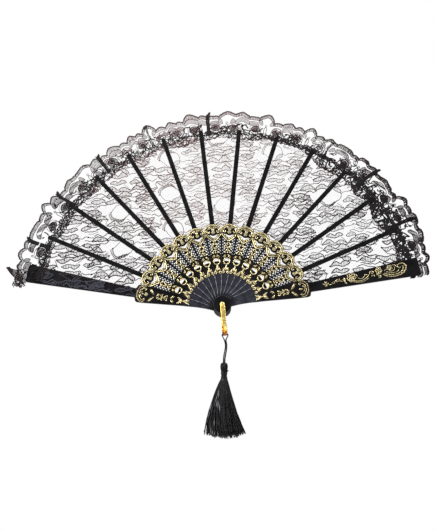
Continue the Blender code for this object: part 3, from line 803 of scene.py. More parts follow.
def cord_route():
    """Up one side from the tassel, over the bottom of the bail, and back down the other side."""
    x, z = LOOP_AT
    middle = [(0.05, POCKET_FLOOR), (0.05, -57.5), (0.3, -54.0), (0.9, -50.0), (1.75, -45.5), (2.1, -41.0),
              (1.75, -38.0), (1.25, -36.0)]
    apart = [0.66, 0.66, 0.72, 0.78, 0.7, 0.6, 0.6, 0.62]
    front, back = [[(TASSEL_X + u + sign * gap, -0.3 * sign, height) for (u, height), gap in zip(middle, apart)]
                   + [(x + sign * 1.5, -0.3 * sign, -33.5)] for sign in (1, -1)]
    loop = []
    for degrees in (-14, 10, 35, 62, 90, 118, 145, 170, 194):
        turn = math.radians(degrees)
        loop.append((x + LOOP_WIDE * math.cos(turn), 0.0, z + LOOP_HIGH * math.sin(turn)))
    return smooth(front + loop + back[::-1], 0.55)


def tassel_cord(material):
    """The doubled cord, as one twisted line of two plies."""
    route = cord_route()
    along = tangents(route)
    side = unit(np.cross(along, [0.0, 1.0, 0.02]))[:, None]
    up = np.cross(along, side[:, 0])[:, None]
    gone = distances(route)
    turns = 2 * math.pi * np.arange(14) / 14
    reach = CORD_RADIUS * (0.88 + 0.12 * abs(np.cos(turns - gone[:, None] * 1.9)))
    # It is drawn thinner where it passes through the bail.
    reach *= np.where(route[:, 2] > -34.0, 0.8, 1.0)[:, None]
    shape = Shape()
    ring = side * np.cos(turns)[:, None] + up * np.sin(turns)[:, None]
    shape.add(route[:, None] + reach[..., None] * ring, *skin(len(route), 14))
    obj = shape.made("tassel_cord_twist", material)
    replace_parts(obj, "tassel_cord")
    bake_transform(obj)


NECK_TOP = -68.4
NECK_FOOT = -75.8
SKIRT_FOOT = -133.4


def tassel(material):
    """A bulb of threads under the cord, a wound neck, and a skirt of loose twisted threads."""
    x, top = TASSEL_X, TASSEL_TOP
    # The bulb: threads that run over its top and down into the neck.
    shape = Shape()
    side_view = [(1.0, top + 0.1), (2.1, top - 0.25), (3.1, top - 1.4), (3.5, top - 3.4), (3.4, top - 6.0),
                 (2.8, top - 8.4), (2.35, top - 9.6), (2.3, NECK_FOOT)]
    for turn in 2 * math.pi * np.arange(40) / 40:
        path = smooth([(x + radius * math.cos(turn) + 0.05 * math.sin(turn * 3 + z), radius * math.sin(turn), z)
                       for radius, z in side_view], 0.9)
        outward = np.column_stack([path[:, 0] - x, path[:, 1], np.zeros(len(path))]) + 1e-3
        strand(shape, path, outward, 0.62, 0.62)
    piece(shape.made("tassel_bulb", material), "black_rayon", "tassel_body", "tassel_head")
    # A solid heart, so that no light comes through between the threads.
    heart = turned("tassel_heart", [(0.9, top - 0.1), (2.0, top - 0.45), (2.95, top - 1.6), (3.35, top - 3.4),
                                    (3.25, top - 6.0), (2.6, top - 8.5), (2.2, top - 9.6), (2.15, NECK_FOOT)],
                   24, material, True)
    heart.data.transform(Matrix.Translation((x * MM, 0, 0)))
    piece(heart, "black_rayon", "tassel_body")
    # The neck: one thread wound round and round, and its knot at the right.
    neck = Shape()
    t = np.linspace(0, 1, 180)
    angle = 2 * np.pi * 9 * t
    radius = 2.85 + 0.2 * np.sin(t * math.pi * 3.0) + 0.1 * np.sin(angle * 0.37)
    up = np.column_stack([np.cos(angle), np.sin(angle), 0 * t])
    path = up * radius[:, None] + np.column_stack([x + 0 * t, 0 * t, NECK_TOP + (NECK_FOOT - NECK_TOP) * t])
    swept(neck, path, np.cross(tangents(path), up), up, ROUND, 1.0, 0.7)
    knot = [(1.6, -1.6, 0.6), (2.9, -1.5, 0.2), (3.9, -0.8, 0.9), (3.5, 0.4, 1.6), (2.5, 0.4, 1.0), (3.3, -0.9, 0.3),
            (4.6, -1.2, 1.5)]
    path = smooth(np.array(knot) + (x, 0, NECK_TOP), 0.4)
    side = unit(np.cross(tangents(path), [0.1, 1.0, 0.0]))
    swept(neck, path, side, np.cross(tangents(path), side), ROUND, 0.75, 0.75)
    piece(neck.made("tassel_winding", material), "black_rayon", "tassel_body", "tassel_binding")
    tassel_skirt(material)


def tassel_skirt(material):
    """Four layers of threads, which spread and wander as they hang from the neck."""
    shape = Shape()
    share = np.linspace(0, 1, 13)
    half_x, half_y = 2.75 + 15.5 * share**0.86, 2.6 + 4.2 * share + 1.8 * share**2
    middle = TASSEL_X + 0.6 * share - 7.0 * share * (1 - share)
    for layer, count in ((1.0, 190), (0.86, 120), (0.66, 90), (0.4, 60)):
        for k in range(count):
            turn = 2 * math.pi * (k + RANDOM.random() * 0.8) / count
            loose = (0.06 if layer == 1.0 else 0.04) * RANDOM.normal()
            foot = SKIRT_FOOT + RANDOM.uniform(-1.1, 2.6) + (3.0 * math.cos(turn) ** 2 if layer > 0.8 else 0.0)
            wander = RANDOM.normal(0, 0.8, 2)
            twist = RANDOM.uniform(-0.12, 0.12)
            phase, sheen = RANDOM.uniform(0, 6.28, 2)
            # Painted highlight: about half the threads get pale streaks in their tint, stronger on the left of the
            # skirt.
            lit = (0.9 if math.cos(turn) < -0.2 else 0.35) * (RANDOM.random() < 0.5)
            spread = layer * (1 + loose * share)
            at = turn + twist * share
            wave = 0.55 * np.sin(phase + 13 * share) * share
            path = smooth(np.column_stack([middle + half_x * spread * np.cos(at) + (wander[0] + wave) * share,
                                           half_y * spread * np.sin(at) + wander[1] * share,
                                           NECK_FOOT + 0.9 + (foot - NECK_FOOT - 0.9) * share]), 3.0)
            width = RANDOM.uniform(0.62, 0.86)
            shine = lit * np.clip(np.sin(sheen + (7 + 5 * lit) * np.linspace(0, 1, len(path))), 0, 1) ** 2
            outward = [math.cos(turn), math.sin(turn), 0.05]
            strand(shape, path, outward, width, width, tint=np.repeat(shine, len(ROUND)))
    piece(shape.made("tassel_threads", material, tinted=True), "black_rayon", "tassel_body", "tassel_skirt")


# -------------------------------------------------------------- lace, shared

# Threads are kept this many degrees beyond a panel's edges, so that neighbours meet.
OVERLAP = 0.18


def cloth_depth(angles):
    return np.interp(angles, BLADE_ANGLES, CLOTH_YS)


def polar(points):
    return np.degrees(np.arctan2(points[:, 1], points[:, 0])), np.hypot(points[:, 0], points[:, 1])


def resampled(points, step):
    points = np.asarray(points, float)
    gone = distances(points)
    count = max(2, int(math.ceil(gone[-1] / step)) + 1)
    at = np.linspace(0, gone[-1], count)
    return np.column_stack([np.interp(at, gone, points[:, 0]), np.interp(at, gone, points[:, 1])])


def runs(inside):
    """Start and end of each stretch of True values that is at least two long."""
    edges = np.flatnonzero(np.diff(np.concatenate([[0], inside.astype(int), [0]])))
    return [(a, b) for a, b in zip(edges[::2], edges[1::2]) if b - a >= 2]


def thread(shape, flat, width, high, lift, profile=DIAMOND, darkening_and_sheen=0.0):
    """A thread along points of (x, z) on the cloth; lift gives its depth at each point.

    It is warm brown at the top of the fan and blacker at both ends; a full darkening gives it the painted grey sheen of
    the lace over the rear guard.
    """
    tint = (0.27 + 0.73 * np.exp(-((polar(flat)[0] - 98.0) / 44.0) ** 2)) * (1 - darkening_and_sheen)
    strand(shape, np.column_stack([flat[:, 0], lift, flat[:, 1]]), [0.0, 1.0, 0.0], width, high, profile,
           np.repeat(tint, len(profile)))


def clipped(line, low, high, inner, outer):
    angles, radii = polar(line)
    inside = (angles > low - OVERLAP) & (angles < high + OVERLAP) & (radii > inner) & (radii < outer)
    return [(line[a:b], angles[a:b], radii[a:b]) for a, b in runs(inside)]


def panel(shape, name, strip, index, material):
    """Makes the cloth between two blades, in place of a strip at each."""
    obj = shape.made(f"{name}_{index + 1:02d}", material, tinted=True)
    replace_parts(obj, f"{strip}_{LABELS[index]}", f"{strip}_{LABELS[index + 1]}")
    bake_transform(obj)


# --------------------------------------------------------------- lace, leaf

# The size of one repeat of the figured lace, and the height of the middle of its top row.
LACE_WIDE = 56.0
LACE_HIGH = 39.5
LACE_TOP = 151.0
# How far the leaf laps over each guard, in degrees beyond the guard's middle.
LAP_FRONT = 2.2
LAP_REAR = 2.35
# How thick the threads of each panel are, from the front guard to the rear one.
LEAF_WEIGHTS = [1.3, 1.06, 1.06, 1.06, 0.82, 0.72, 0.78, 0.72, 0.96, 1.06, 1.06, 1.2, 1.35]

# One repeat of the leaf's lace, in millimetres about the middle of its open oval: the shapes filled
# with close threads, the single threads and the small knots.
FILLED = [[(1.8, 10.8), (4.5, 10.6), (8, 9.6), (10.9, 7.4), (9.9, 5.2), (6.5, 5.7), (3.6, 7.8)], [(12.4, -4.2),
          (16.4, -2.4), (20.8, -3.4), (23.6, -6.0), (18.6, -6.8), (14.0, -6.4)], ]
# Rows of rounded peaks: both ends of the foot of the row, the number of peaks and their height.
PEAKS = [((-17.0, 10.8), (10.5, 12.4), 2, 5.2), ((-15.0, -13.4), (14.5, -14.6), 2, 3.8), ((-13.0, -20.6),
         (15.0, -19.4), 2, 4.2), ((14.8, 12.4), (34.0, 15.0), 2, 4.4), ((14.6, -14.0), (35.0, -12.0), 2, 4.0),
         ((-36.0, 0.9), (-20.6, -0.8), 1, 4.6), ((-36.0, -14.6), (-21.6, -13.4), 1, 4.4), ((-32.0, 12.0),
         (-16.6, 12.4), 1, 4.2), ((-27.0, -6.4), (-13.8, -6.8), 1, 3.2), ]
DRAWN = [([(-10, 2), (-6.3, 6.2), (-3.3, 8.7), (-0.8, 9.6), (1.8, 10.6)], 0.5), ([(-30, 17.4), (-26.0, 18.8),
         (-21.5, 17.2), (-17.0, 19.2), (-13, 17.9), (-8.5, 19.6), (-4.0, 19.8), (0.5, 18.4), (5, 19.6), (9.5, 17.6),
         (14.0, 18.4), (18.5, 20.2), (23.5, 19.4), (28.5, 20.6)], 0.72), ([(20.3, 2.3), (25.5, 1.2), (31.5, 0.2)],
         0.4), ([(16.5, -0.8), (21, -0.4), (26, -1.6), (32, -2.3)], 0.66), ([(12.5, -16.4), (16.4, -17.6),
         (20.6, -16.6), (25, -18.6), (30, -17.8), (34.0, -19.0)], 0.7), ([(17.0, 8.8), (21.8, 10.0), (26.5, 8.6),
         (31.0, 10.2), (35.0, 9.4)], 0.6), ([(-25.2, -16.6), (-22, -17.2), (-18.4, -15.6), (-14.0, -17.2)], 0.66),
         ([(-35, -5), (-31, -3.6), (-27, -4.6), (-23, -2.6), (-19.0, -3.6), (-15.0, -2.2)], 0.7), ([(-36, 7.6),
         (-31.4, 8.6), (-27, 7.2), (-22.4, 9.6), (-18.2, 8.6), (-14.6, 10.2)], 0.66), ([(10.5, 12.4), (12.6, 13.8),
         (14.8, 12.4)], 0.6), ([(-15.8, -12.0), (-14.6, -8.6), (-12.9, -5.0)], 0.5), ([(10.6, 4.4), (14.5, 5.8),
         (17.5, 4.6), (21.5, 6.0), (26.5, 5.0)], 0.6), ([(-14.0, -19.0), (-9.0, -16.2), (-4.0, -17.4)], 0.5),
         ([(14.5, -14.6), (10.0, -9.6), (6.4, -7.6)], 0.45), ]
KNOTS = [(-10.7, 1.7), (-16, 11.2), (16.6, 13.8), (-25.4, -10.6), (-26, -2.8), (5.8, 15.4), (4.2, -17.0),
         (12.4, -12.4), (17.3, -11.6), (-6.6, -12.2), (1.9, -14.2), (-13.0, 17.9), (20.6, 5.7)]
RING_INNER = [(-10.6, 1.3), (-9.9, -3), (-7, -6.3), (-3.2, -7.4), (0.9, -6.9), (4.7, -5.6), (7.7, -3.8), (9.9, -1.0),
              (10.9, 2.2), (10.4, 5.6)]
RING_OUTER = [(-12.9, 0.2), (-11.8, -3.8), (-9.9, -6.8), (-7, -8.6), (-3.7, -9.6), (-0.6, -9.8), (2.4, -9.2)]


def hatched(lines, outline, pitch, width, lean=0.0, edge=0.55):
    """A worked shape of the lace: its outline, and close threads across it at the given lean."""
    points = smooth(outline, 0.9, True)
    lines.append((np.vstack([points, points[:1]]), edge))
    c, s = math.cos(lean), math.sin(lean)
    turned = points @ np.array([[c, s], [-s, c]])
    ends = np.roll(turned, -1, axis=0)
    for x in np.arange(turned[:, 0].min() + pitch * 0.5, turned[:, 0].max(), pitch):
        crosses = (turned[:, 0] <= x) != (ends[:, 0] <= x)
        a, b = turned[crosses], ends[crosses]
        if len(a) < 2:
            continue
        heights = np.sort(a[:, 1] + (x - a[:, 0]) / (b[:, 0] - a[:, 0]) * (b[:, 1] - a[:, 1]))
        for low, high in zip(heights[::2], heights[1::2]):
            if high - low > 0.5:
                lines.append((np.array([(x, low), (x, high)]) @ np.array([[c, -s], [s, c]]), width))


def peaks(lines, start, end, count, height):
    """A worked row of rounded peaks with a thinner thread following it above."""
    start, end = np.array(start, float), np.array(end, float)
    along = (end - start) / np.linalg.norm(end - start)
    up = np.array([-along[1], along[0]])
    share = np.linspace(0, 1, count * 6 + 1)
    crest = 0.3 * np.sin(np.pi * share) ** 0.5 + 0.7 * np.abs(np.sin(np.pi * count * share))
    rise = height * crest * (1 + 0.2 * np.cos(7 * share + start[0]))
    top = start + np.outer(share, end - start) + np.outer(rise + 0.5, up)
    foot = end + np.outer(share[1:-1:3], start - end) - np.outer(0.5 + 0.4 * np.cos(share[1:-1:3] * 19), up)
    hatched(lines, np.vstack([top, foot]), 1.55, 0.36, 0.1 * math.sin(start[0]), 0.74)


def lace_motif():
    """One repeat of the leaf's lace as (points, width), and apart from it its open oval or what may fill it."""
    lines = []
    for i, outline in enumerate(FILLED):
        hatched(lines, outline, 1.5, 0.36, 0.14 * math.sin(i * 2.2), 0.62)
    for start, end, count, height in PEAKS:
        peaks(lines, start, end, count, height)
    for points, width in DRAWN:
        lines.append((smooth(points, 1.0), width))
    for x, z in KNOTS:
        lines.append((np.array([(x - 0.6, z - 0.15), (x + 0.6, z + 0.15)]), 1.3))
    inner, outer = smooth(RING_INNER, 0.5), smooth(RING_OUTER, 0.5)
    plain, lines = lines, [(inner, 0.5), (outer, 0.45)]
    for share in np.linspace(0.02, 0.98, 17):
        foot = inner[int(share * 0.68 * (len(inner) - 1))]
        crest = outer[int(share * (len(outer) - 1))]
        lines.append((np.array([foot, crest]), 0.42))
    for point in inner[::4]:
        heading = point / np.linalg.norm(point)
        lines.append((np.array([point, point - heading * 0.9]), 0.4))
    closed = []
    peaks(closed, (-10.5, 1.0), (10.0, 2.2), 2, 4.0)
    peaks(closed, (-9.5, -6.4), (9.0, -5.2), 2, 3.4)
    return plain, lines, closed


def lace_lines():
    """Every thread of the figured lace over the whole leaf, in the plane of the open fan."""
    plain, rings, closed = [[(resampled(points, 1.15), width) for points, width in part] for part in lace_motif()]
    everything = []
    for column in range(-4, 5):
        for row in range(-2, 6):
            z = LACE_TOP - row * LACE_HIGH - (LACE_HIGH / 2 if column % 2 else 0.0)
            x = column * LACE_WIDE - 0.09 * (z - LACE_TOP)
            centre = np.array([x, z + 0.07 * x]) + RANDOM.normal(0, 0.6, 2)
            if np.hypot(*centre) > 235 or np.hypot(*centre) < 50 or centre[1] < -30:
                continue
            lean = 0.07 + RANDOM.normal(0, 0.03)
            stretch = 1 + RANDOM.normal(0, 0.05)
            turned_over = -1.0 if column % 2 else 1.0
            for points, width in plain + (rings if RANDOM.random() < (0.7 if centre[0] < 30 else 0.2) else closed):
                x = points[:, 0] * stretch
                z = points[:, 1] * turned_over + points[:, 0] * lean
                z = z + 0.8 * np.sin(points[:, 0] * 0.45 + centre[1]) + 0.25 * np.sin(points[:, 0] * 1.9 + centre[0])
                everything.append((np.column_stack([x, z]) + centre, width * RANDOM.uniform(0.85, 1.2)))
    return everything


def net_lines():
    """The fine ground of the lace: two sets of slanting threads."""
    kept = []
    for slant in (58.0, 122.0):
        heading = np.array([math.cos(math.radians(slant)), math.sin(math.radians(slant))])
        across = np.array([-heading[1], heading[0]])
        for offset in np.arange(-260, 260, 2.6):
            line = across * offset + heading * np.arange(-260, 262, 2.2)[:, None]
            _, radius = polar(line)
            clear = (radius > LEAF_INNER - 4) & (radius < LEAF_OUTER + 4) & (line[:, 1] > -20)
            kept += [line[a:b] for a, b in runs(clear)]
    return kept


def leaf_panel(index, lines, net, material):
    """The lace between two neighbouring blades."""
    low = FRONT_ANGLE - LAP_FRONT if index == 0 else BLADE_ANGLES[index]
    high = REAR_ANGLE + LAP_REAR if index == STICKS else BLADE_ANGLES[index + 1]
    shape = Shape()
    for line, width in lines:
        for points, angles, _ in clipped(line, low, high, LEAF_INNER, LEAF_OUTER):
            # Lace over the rear guard is given the painted grey sheen of tint 0.
            sheen_over_guard = float(angles.mean() > REAR_ANGLE - 2.5)
            wide = width * LEAF_WEIGHTS[index]
            thread(shape, points, wide, min(width, 0.4), cloth_depth(angles), darkening_and_sheen=sheen_over_guard)
    for line in net:
        for points, angles, _ in clipped(line, low, high, LEAF_INNER, LEAF_OUTER):
            thread(shape, points, 0.06, 0.06, cloth_depth(angles), TRIANGLE)
    hem = resampled(arc((0, 0), LEAF_INNER + 0.3, low, high, 24), 1.2)
    thread(shape, hem, 0.5, 0.35, cloth_depth(polar(hem)[0]))
    width = math.radians(high - low) * (LEAF_OUTER + LEAF_INNER) / 2
    panel(shape, "lace_panel", "leaf", index, material)


# --------------------------------------------------------------- lace, trim

# The cloth of the border before it is gathered: how much longer it is than the line it is drawn
# up to, how far from the rivet that line is taken, and how far the cloth reaches across.
TRIM_FULLNESS = 1.5
TRIM_MIDDLE = 205.0
# Where the border ends, in degrees and in distances from the rivet that leave room around it.
TRIM_START, TRIM_END = 8.4, 174.2
TRIM_INNER, TRIM_OUTER = 170.0, 240.0
# The rear guard's lower edge, and its tip.
GUARD_EDGE, GUARD_TIP = 171.4, 206.0
# The distance from the rivet at which the bumps' widths are measured.
BUMP_MIDDLE = 212.0

# Bumps of the border's outer edge: (angle, radius of its crest, width in degrees, kind). Tall ones (t)
# stand over a bare arch with two stems, broad ones (b) over a worked arch and small ones (s) over a
# small one.
BUMPS = [
    (10.3, 217.6, 3.6, "s"), (13.6, 221.8, 3.2, "t"), (16.7, 221.3, 2.4, "s"), (20.3, 225.0, 5.0, "b"),
    (25.3, 227.4, 3.4, "s"), (28.2, 226.6, 2.4, "s"), (31.2, 228.3, 3.8, "t"), (33.9, 221.7, 2.0, "s"),
    (37.9, 224.0, 5.6, "b"), (43.3, 225.0, 3.0, "s"), (46.5, 226.0, 3.6, "t"), (48.9, 222.6, 2.0, "s"),
    (52.6, 224.4, 4.6, "b"), (57.2, 222.5, 3.4, "t"), (60.5, 220.2, 2.6, "s"), (63.5, 224.2, 3.6, "t"),
    (66.8, 219.6, 2.6, "s"), (70.0, 220.5, 3.4, "b"), (73.2, 217.2, 2.4, "s"), (76.7, 224.2, 4.2, "t"),
    (80.4, 219.6, 2.6, "s"), (83.9, 222.6, 4.2, "b"), (88.6, 222.6, 4.4, "t"), (92.2, 218.2, 2.4, "s"),
    (95.8, 219.0, 2.4, "s"), (99.2, 222.5, 4.4, "b"), (102.6, 216.2, 2.0, "s"), (105.2, 217.8, 3.0, "b"),
    (108.2, 215.4, 2.4, "s"), (112.2, 222.9, 3.6, "t"), (115.0, 217.6, 2.0, "s"), (117.5, 218.8, 2.8, "b"),
    (120.4, 215.4, 2.4, "s"), (123.9, 218.7, 4.2, "b"), (127.2, 214.8, 2.2, "s"), (130.2, 217.6, 3.0, "s"),
    (134.3, 219.9, 5.2, "t"), (139.6, 219.3, 4.8, "b"), (143.3, 216.0, 2.2, "s"), (146.4, 220.8, 2.6, "s"),
    (149.2, 224.4, 3.4, "t"), (152.3, 219.8, 2.6, "s"), (156.2, 220.6, 4.8, "b"), (161.2, 221.3, 2.8, "s"),
    (164.1, 223.2, 4.0, "t"), (167.8, 219.8, 3.0, "s"), (171.0, 219.4, 2.6, "s"),
]
FLOWERS = [18.3, 27.6, 34.4, 43.6, 50.3, 59.6, 66.9, 73.0, 79.7, 86.4, 92.0, 98.4, 104.2, 109.2, 115.3, 120.9, 126.0,
           131.7, 138.2, 146.3, 153.3, 162.4]
# How far the border's inner edge hangs below the gathering line, at points across the leaf.
SWAG = ([9, 13, 17, 24, 27, 31, 35, 37, 41, 44, 48, 51, 56, 60, 65, 71, 75, 79, 84, 87, 91, 95, 98, 103, 108, 111,
         117, 121, 125, 130, 134, 139, 145, 149, 154, 157, 160, 165, 169, 172], [4, 14, 8, 7, 13, 15, 8, 7, 12, 7, 6,
         10, 13, 7, 3, 4, 3, 8, 9, 7, 5, 9, 7, 13, 8, 6, 10, 6, 5, 9, 6, 9, 5, 8, 9, 5, 4, 8, 6, 4])
PLEATS = [(25.4, 226.4, 1.0), (42.2, 226.8, 1.0), (56.9, 220.5, 0.5), (94.1, 221.0, 1.0), (112.5, 222.0, 0.6),
          (128.6, 218.5, 1.0), (144.4, 220.0, 1.0), (159.9, 221.0, 1.0)]


def gathering(angle):
    """Distance from the rivet of the thread that draws up the border."""
    return np.interp(angle, [9, 20, 45, 58, 70, 93, 120, 165], [199.6, 201.4, 200.8, 199.2, 197.3, 195.4, 195.0, 194.6])


def inner_edge(angle):
    hang = np.interp(angle, *SWAG) + np.interp(angle, [48, 66], [5.0, 0.0])
    return gathering(angle) - 0.8 * hang - 0.6 * math.sin(angle * 4.1) - 0.3 * math.sin(angle * 9.7)


def trim_depth(angles, radii):
    """The border ripples more towards its outer edge, backwards except over the rear guard."""
    rise = 0.25 + 2.3 * np.clip((radii - 193.0) / 30.0, 0, 1)
    ripple = 0.5 + 0.5 * np.sin(np.radians(angles) * 118.0 + 1.3 * np.sin(np.radians(angles) * 31.0))
    way = np.interp(angles, [159.5, 165.5], [1.0, -0.35])
    return cloth_depth(angles) + rise * ripple * way + np.where(way < 0, -0.15, 0.1)


def at(angle, radius):
    t = math.radians(angle)
    return (radius * math.cos(t), radius * math.sin(t))


def around(angle, radius, outline):
    """Points given as (along the border, outwards) in millimetres about a place on the border."""
    t = math.radians(angle)
    out, along = np.array([math.cos(t), math.sin(t)]), np.array([-math.sin(t), math.cos(t)])
    return [np.array([radius * math.cos(t), radius * math.sin(t)]) + along * a + out * b for a, b in outline]


def scallop_edge():
    """The outer edge of the border and the inner edge of its worked band, as angles and two radii."""
    bounds = [8.6]
    for (a, _, wide, _), (b, _, next_wide, _) in zip(BUMPS, BUMPS[1:]):
        bounds.append(a + (b - a) * wide / (wide + next_wide))
    bounds.append(173.4)
    valleys = [215.0]
    for (_, a, _, _), (_, b, _, _) in zip(BUMPS, BUMPS[1:]):
        valleys.append(min(a, b) - 2.2)
    valleys.append(215.0)
    angles, outer, inner = [], [], []
    for i, (_, height, _, kind) in enumerate(BUMPS):
        for angle in np.arange(bounds[i], bounds[i + 1], 0.14):
            share = (angle - bounds[i]) / (bounds[i + 1] - bounds[i])
            base = valleys[i] + (valleys[i + 1] - valleys[i]) * share
            swell = max(0.0, math.sin(math.pi * share)) ** 0.7
            angles.append(angle)
            outer.append(base + (height - base) * swell + 0.35 * abs(math.sin(math.pi * share * 5)))
            inner.append(base - 3.4 + (height - base) * (0.9 if kind == "t" else 0.6) * math.sin(math.pi * share))
    return np.array(angles), np.array(outer), np.array(inner)


def squiggle(lines, start, length, width, bend, dark, highest, lowest=None):
    """A gathered thread that wanders about between the border's inner edge and a distance from the rivet."""
    point = np.array(start, float)
    heading = RANDOM.uniform(0, 2 * math.pi)
    turn = RANDOM.normal(0, bend)
    points = [point.copy()]
    for _ in range(int(length / 0.8)):
        turn = 0.8 * turn + RANDOM.normal(0, bend)
        heading += turn
        ahead = point + np.array([math.cos(heading), math.sin(heading)]) * 0.8
        radius = np.hypot(*ahead)
        least = lowest or inner_edge(math.degrees(math.atan2(ahead[1], ahead[0])))
        if radius < least or radius > highest:
            heading += math.pi * 0.7
            continue
        point = ahead
        points.append(point.copy())
    if len(points) > 3:
        lines.append((np.array(points), width, dark))


def worked(lines, outline, pitch, width, lean, edge, dark=0.0):
    shape = []
    hatched(shape, outline, pitch, width, lean, edge)
    lines += [(points, size, dark) for points, size in shape]


def edge_threads():
    """The corded outer edge of the border, and the close threads of its worked band."""
    lines = []
    edge_angles, edge_outer, edge_inner = scallop_edge()
    turns = np.radians(edge_angles)
    round_about = np.column_stack([np.cos(turns), np.sin(turns)])
    lines.append((resampled(round_about * (edge_outer - 0.5)[:, None], 0.7), 1.05, 0.5))
    lines.append((resampled(round_about * (edge_outer - 1.5)[:, None], 0.8), 0.5, 0.2))
    lines.append((resampled(round_about * edge_inner[:, None], 0.8), 0.6, 0.2))
    for angle in np.arange(8.9, 173.2, 0.235):
        outer = float(np.interp(angle, edge_angles, edge_outer)) - 0.6
        inner = float(np.interp(angle, edge_angles, edge_inner))
        lean = RANDOM.normal(0, 0.05)
        width = RANDOM.uniform(0.4, 0.62) + float(np.interp(angle, [45, 66], [0.16, 0.0]))
        lines.append((np.array([at(angle, outer), at(angle + lean, inner)]), width, 0.05))
    return lines


def bump_threads():
    """What stands under each bump of the outer edge."""
    lines = []

    def arch(angle, centre, outline):
        worked(lines, around(angle, centre, outline), 0.85, 0.55, math.radians(angle - 90), 0.6)

    for angle, height, wide, kind in BUMPS:
        half = 0.5 * math.radians(wide) * BUMP_MIDDLE
        centre = height - 9.2 + RANDOM.uniform(-0.5, 0.5)
        foot = gathering(angle)
        if kind == "b":
            arch(angle, centre, [
                (-half, -5.2), (-half * 0.95, -1.2), (-half * 0.5, 1.9), (0.3, 2.8), (half * 0.5, 1.8),
                (half * 0.95, -1.3), (half * 0.9, -5.0), (half * 0.4, -3.2), (0, -2.4), (-half * 0.45, -3.3),
            ])
        elif kind == "s":
            lean = RANDOM.uniform(-0.9, 0.9)
            arch(angle, centre, [(-half * 1.1, -3.4 - lean), (-half * 0.85, 1.2), (0, 2.8), (half * 0.85, 1.4),
                                 (half * 1.1, -3.2 + lean), (half * 0.3, -2.7)])
        else:
            for sign in (-1, 1):
                petal = [(-2.4, -2.8), (-2.2, 0.4), (-0.4, 2.6), (1.6, 1.6), (2.4, -1.4), (1.0, -3.0)]
                leaning = [(sign * (half * 0.85 + a), b - 1.6 + 0.35 * a) for a, b in petal]
                arch(angle, centre, leaning[::sign])
                stem = [(sign * 1.7, 0), (sign * 1.2, 4.5), (sign * 1.5, 8.5), (sign * 0.3, 12.0)]
                lines.append((smooth(around(angle, foot, stem), 1.0), 0.62, 0.3))
            eye = around(angle, foot + 13.2, [(0, -1.1), (1.1, 0), (0, 1.1), (-1.1, 0)])
            lines.append((smooth(eye, 0.6, True), 0.6, 0.2))
    return lines


def flower_threads():
    """The worked flowers above the gathering, each between two pleats."""
    lines = []
    for angle in FLOWERS:
        foot = gathering(angle)
        size = RANDOM.uniform(0.88, 1.12)
        centre = foot + 7.2 + RANDOM.uniform(-0.6, 0.6)
        across = 5.0 * size
        outline = [(-across, -1.6), (-across * 0.85, 1.7), (-across * 0.35, 3.4), (across * 0.3, 3.7),
                   (across * 0.85, 2.0), (across, -1.2), (across * 0.5, -3.3), (-across * 0.45, -3.6)]
        worked(lines, around(angle, centre, outline), 0.8, 0.62, math.radians(angle - 90), 0.95, 0.3)
        small = [(a * 0.5, b * 0.5) for a, b in outline]
        worked(lines, around(angle, centre, small), 0.9, 0.55, math.radians(angle), 0.7, 0.5)
        crown = [(-across * 1.5, -2.0), (-across * 1.3, 2.4), (-across * 0.6, 5.3), (across * 0.4, 5.8),
                 (across * 1.25, 3.0), (across * 1.5, -1.6)]
        lines.append((smooth(around(angle, centre, crown), 0.9), 0.45, 0.0))
        for sign in (-1, 1):
            side = sign * across
            pleat = [(side * 1.25, -0.5), (side * 1.4, 3.5), (side * 1.2, 7.5)]
            lines.append((smooth(around(angle, foot, pleat), 1.0), 0.7, 0.4))
    return lines


def heading_threads():
    """The drawn-up stitching line, and the puckered heading that hangs under it."""
    lines = []
    span = np.arange(8.8, 173.2, 0.2)
    turns = np.radians(span)
    for offset, width, phase in ((0.0, 1.25, 0.0), (-1.1, 0.9, 1.7), (1.3, 0.8, 3.1)):
        radii = gathering(span) + offset + 0.6 * np.sin(span * 1.9 + phase) + 0.4 * np.sin(span * 5.3 + phase)
        lines.append((np.column_stack([radii * np.cos(turns), radii * np.sin(turns)]), width, 0.75))
    for offset, width in ((0.0, 1.0), (1.7, 0.55)):
        points = [at(angle, inner_edge(angle) + offset) for angle in span]
        lines.append((resampled(points, 0.8), width, 0.6))
    for angle in np.arange(9.4, 172.8, 0.38):
        middle = math.exp(-((angle - 92.0) / 34.0) ** 2)
        right = float(np.interp(angle, [40, 62], [1, 0]))
        low = inner_edge(angle)
        start = at(angle, RANDOM.uniform(low + 0.4, gathering(angle) + 3.5))
        squiggle(lines, start, RANDOM.uniform(8, 18), RANDOM.uniform(0.7, 1.15) + 0.3 * middle, 0.14, 0.7,
                 gathering(angle) + 4.0)
        if RANDOM.uniform() < 0.45 + 0.3 * middle + 0.55 * right:
            start = at(angle, gathering(angle) + RANDOM.uniform(-1, 10))
            squiggle(lines, start, RANDOM.uniform(6, 13), RANDOM.uniform(0.8, 1.2) + 0.4 * middle, 0.13, 0.8,
                     gathering(angle) + 12.5)
        if RANDOM.uniform() < 0.9 * right:
            start = at(angle, RANDOM.uniform(low + 0.4, gathering(angle) + 2.0))
            squiggle(lines, start, RANDOM.uniform(8, 16), RANDOM.uniform(0.8, 1.3), 0.14, 0.8, gathering(angle) + 3.0)
    return lines


def trim_lines():
    """The threads of the gathered border as (points, width, darkening)."""
    return edge_threads() + bump_threads() + flower_threads() + heading_threads()


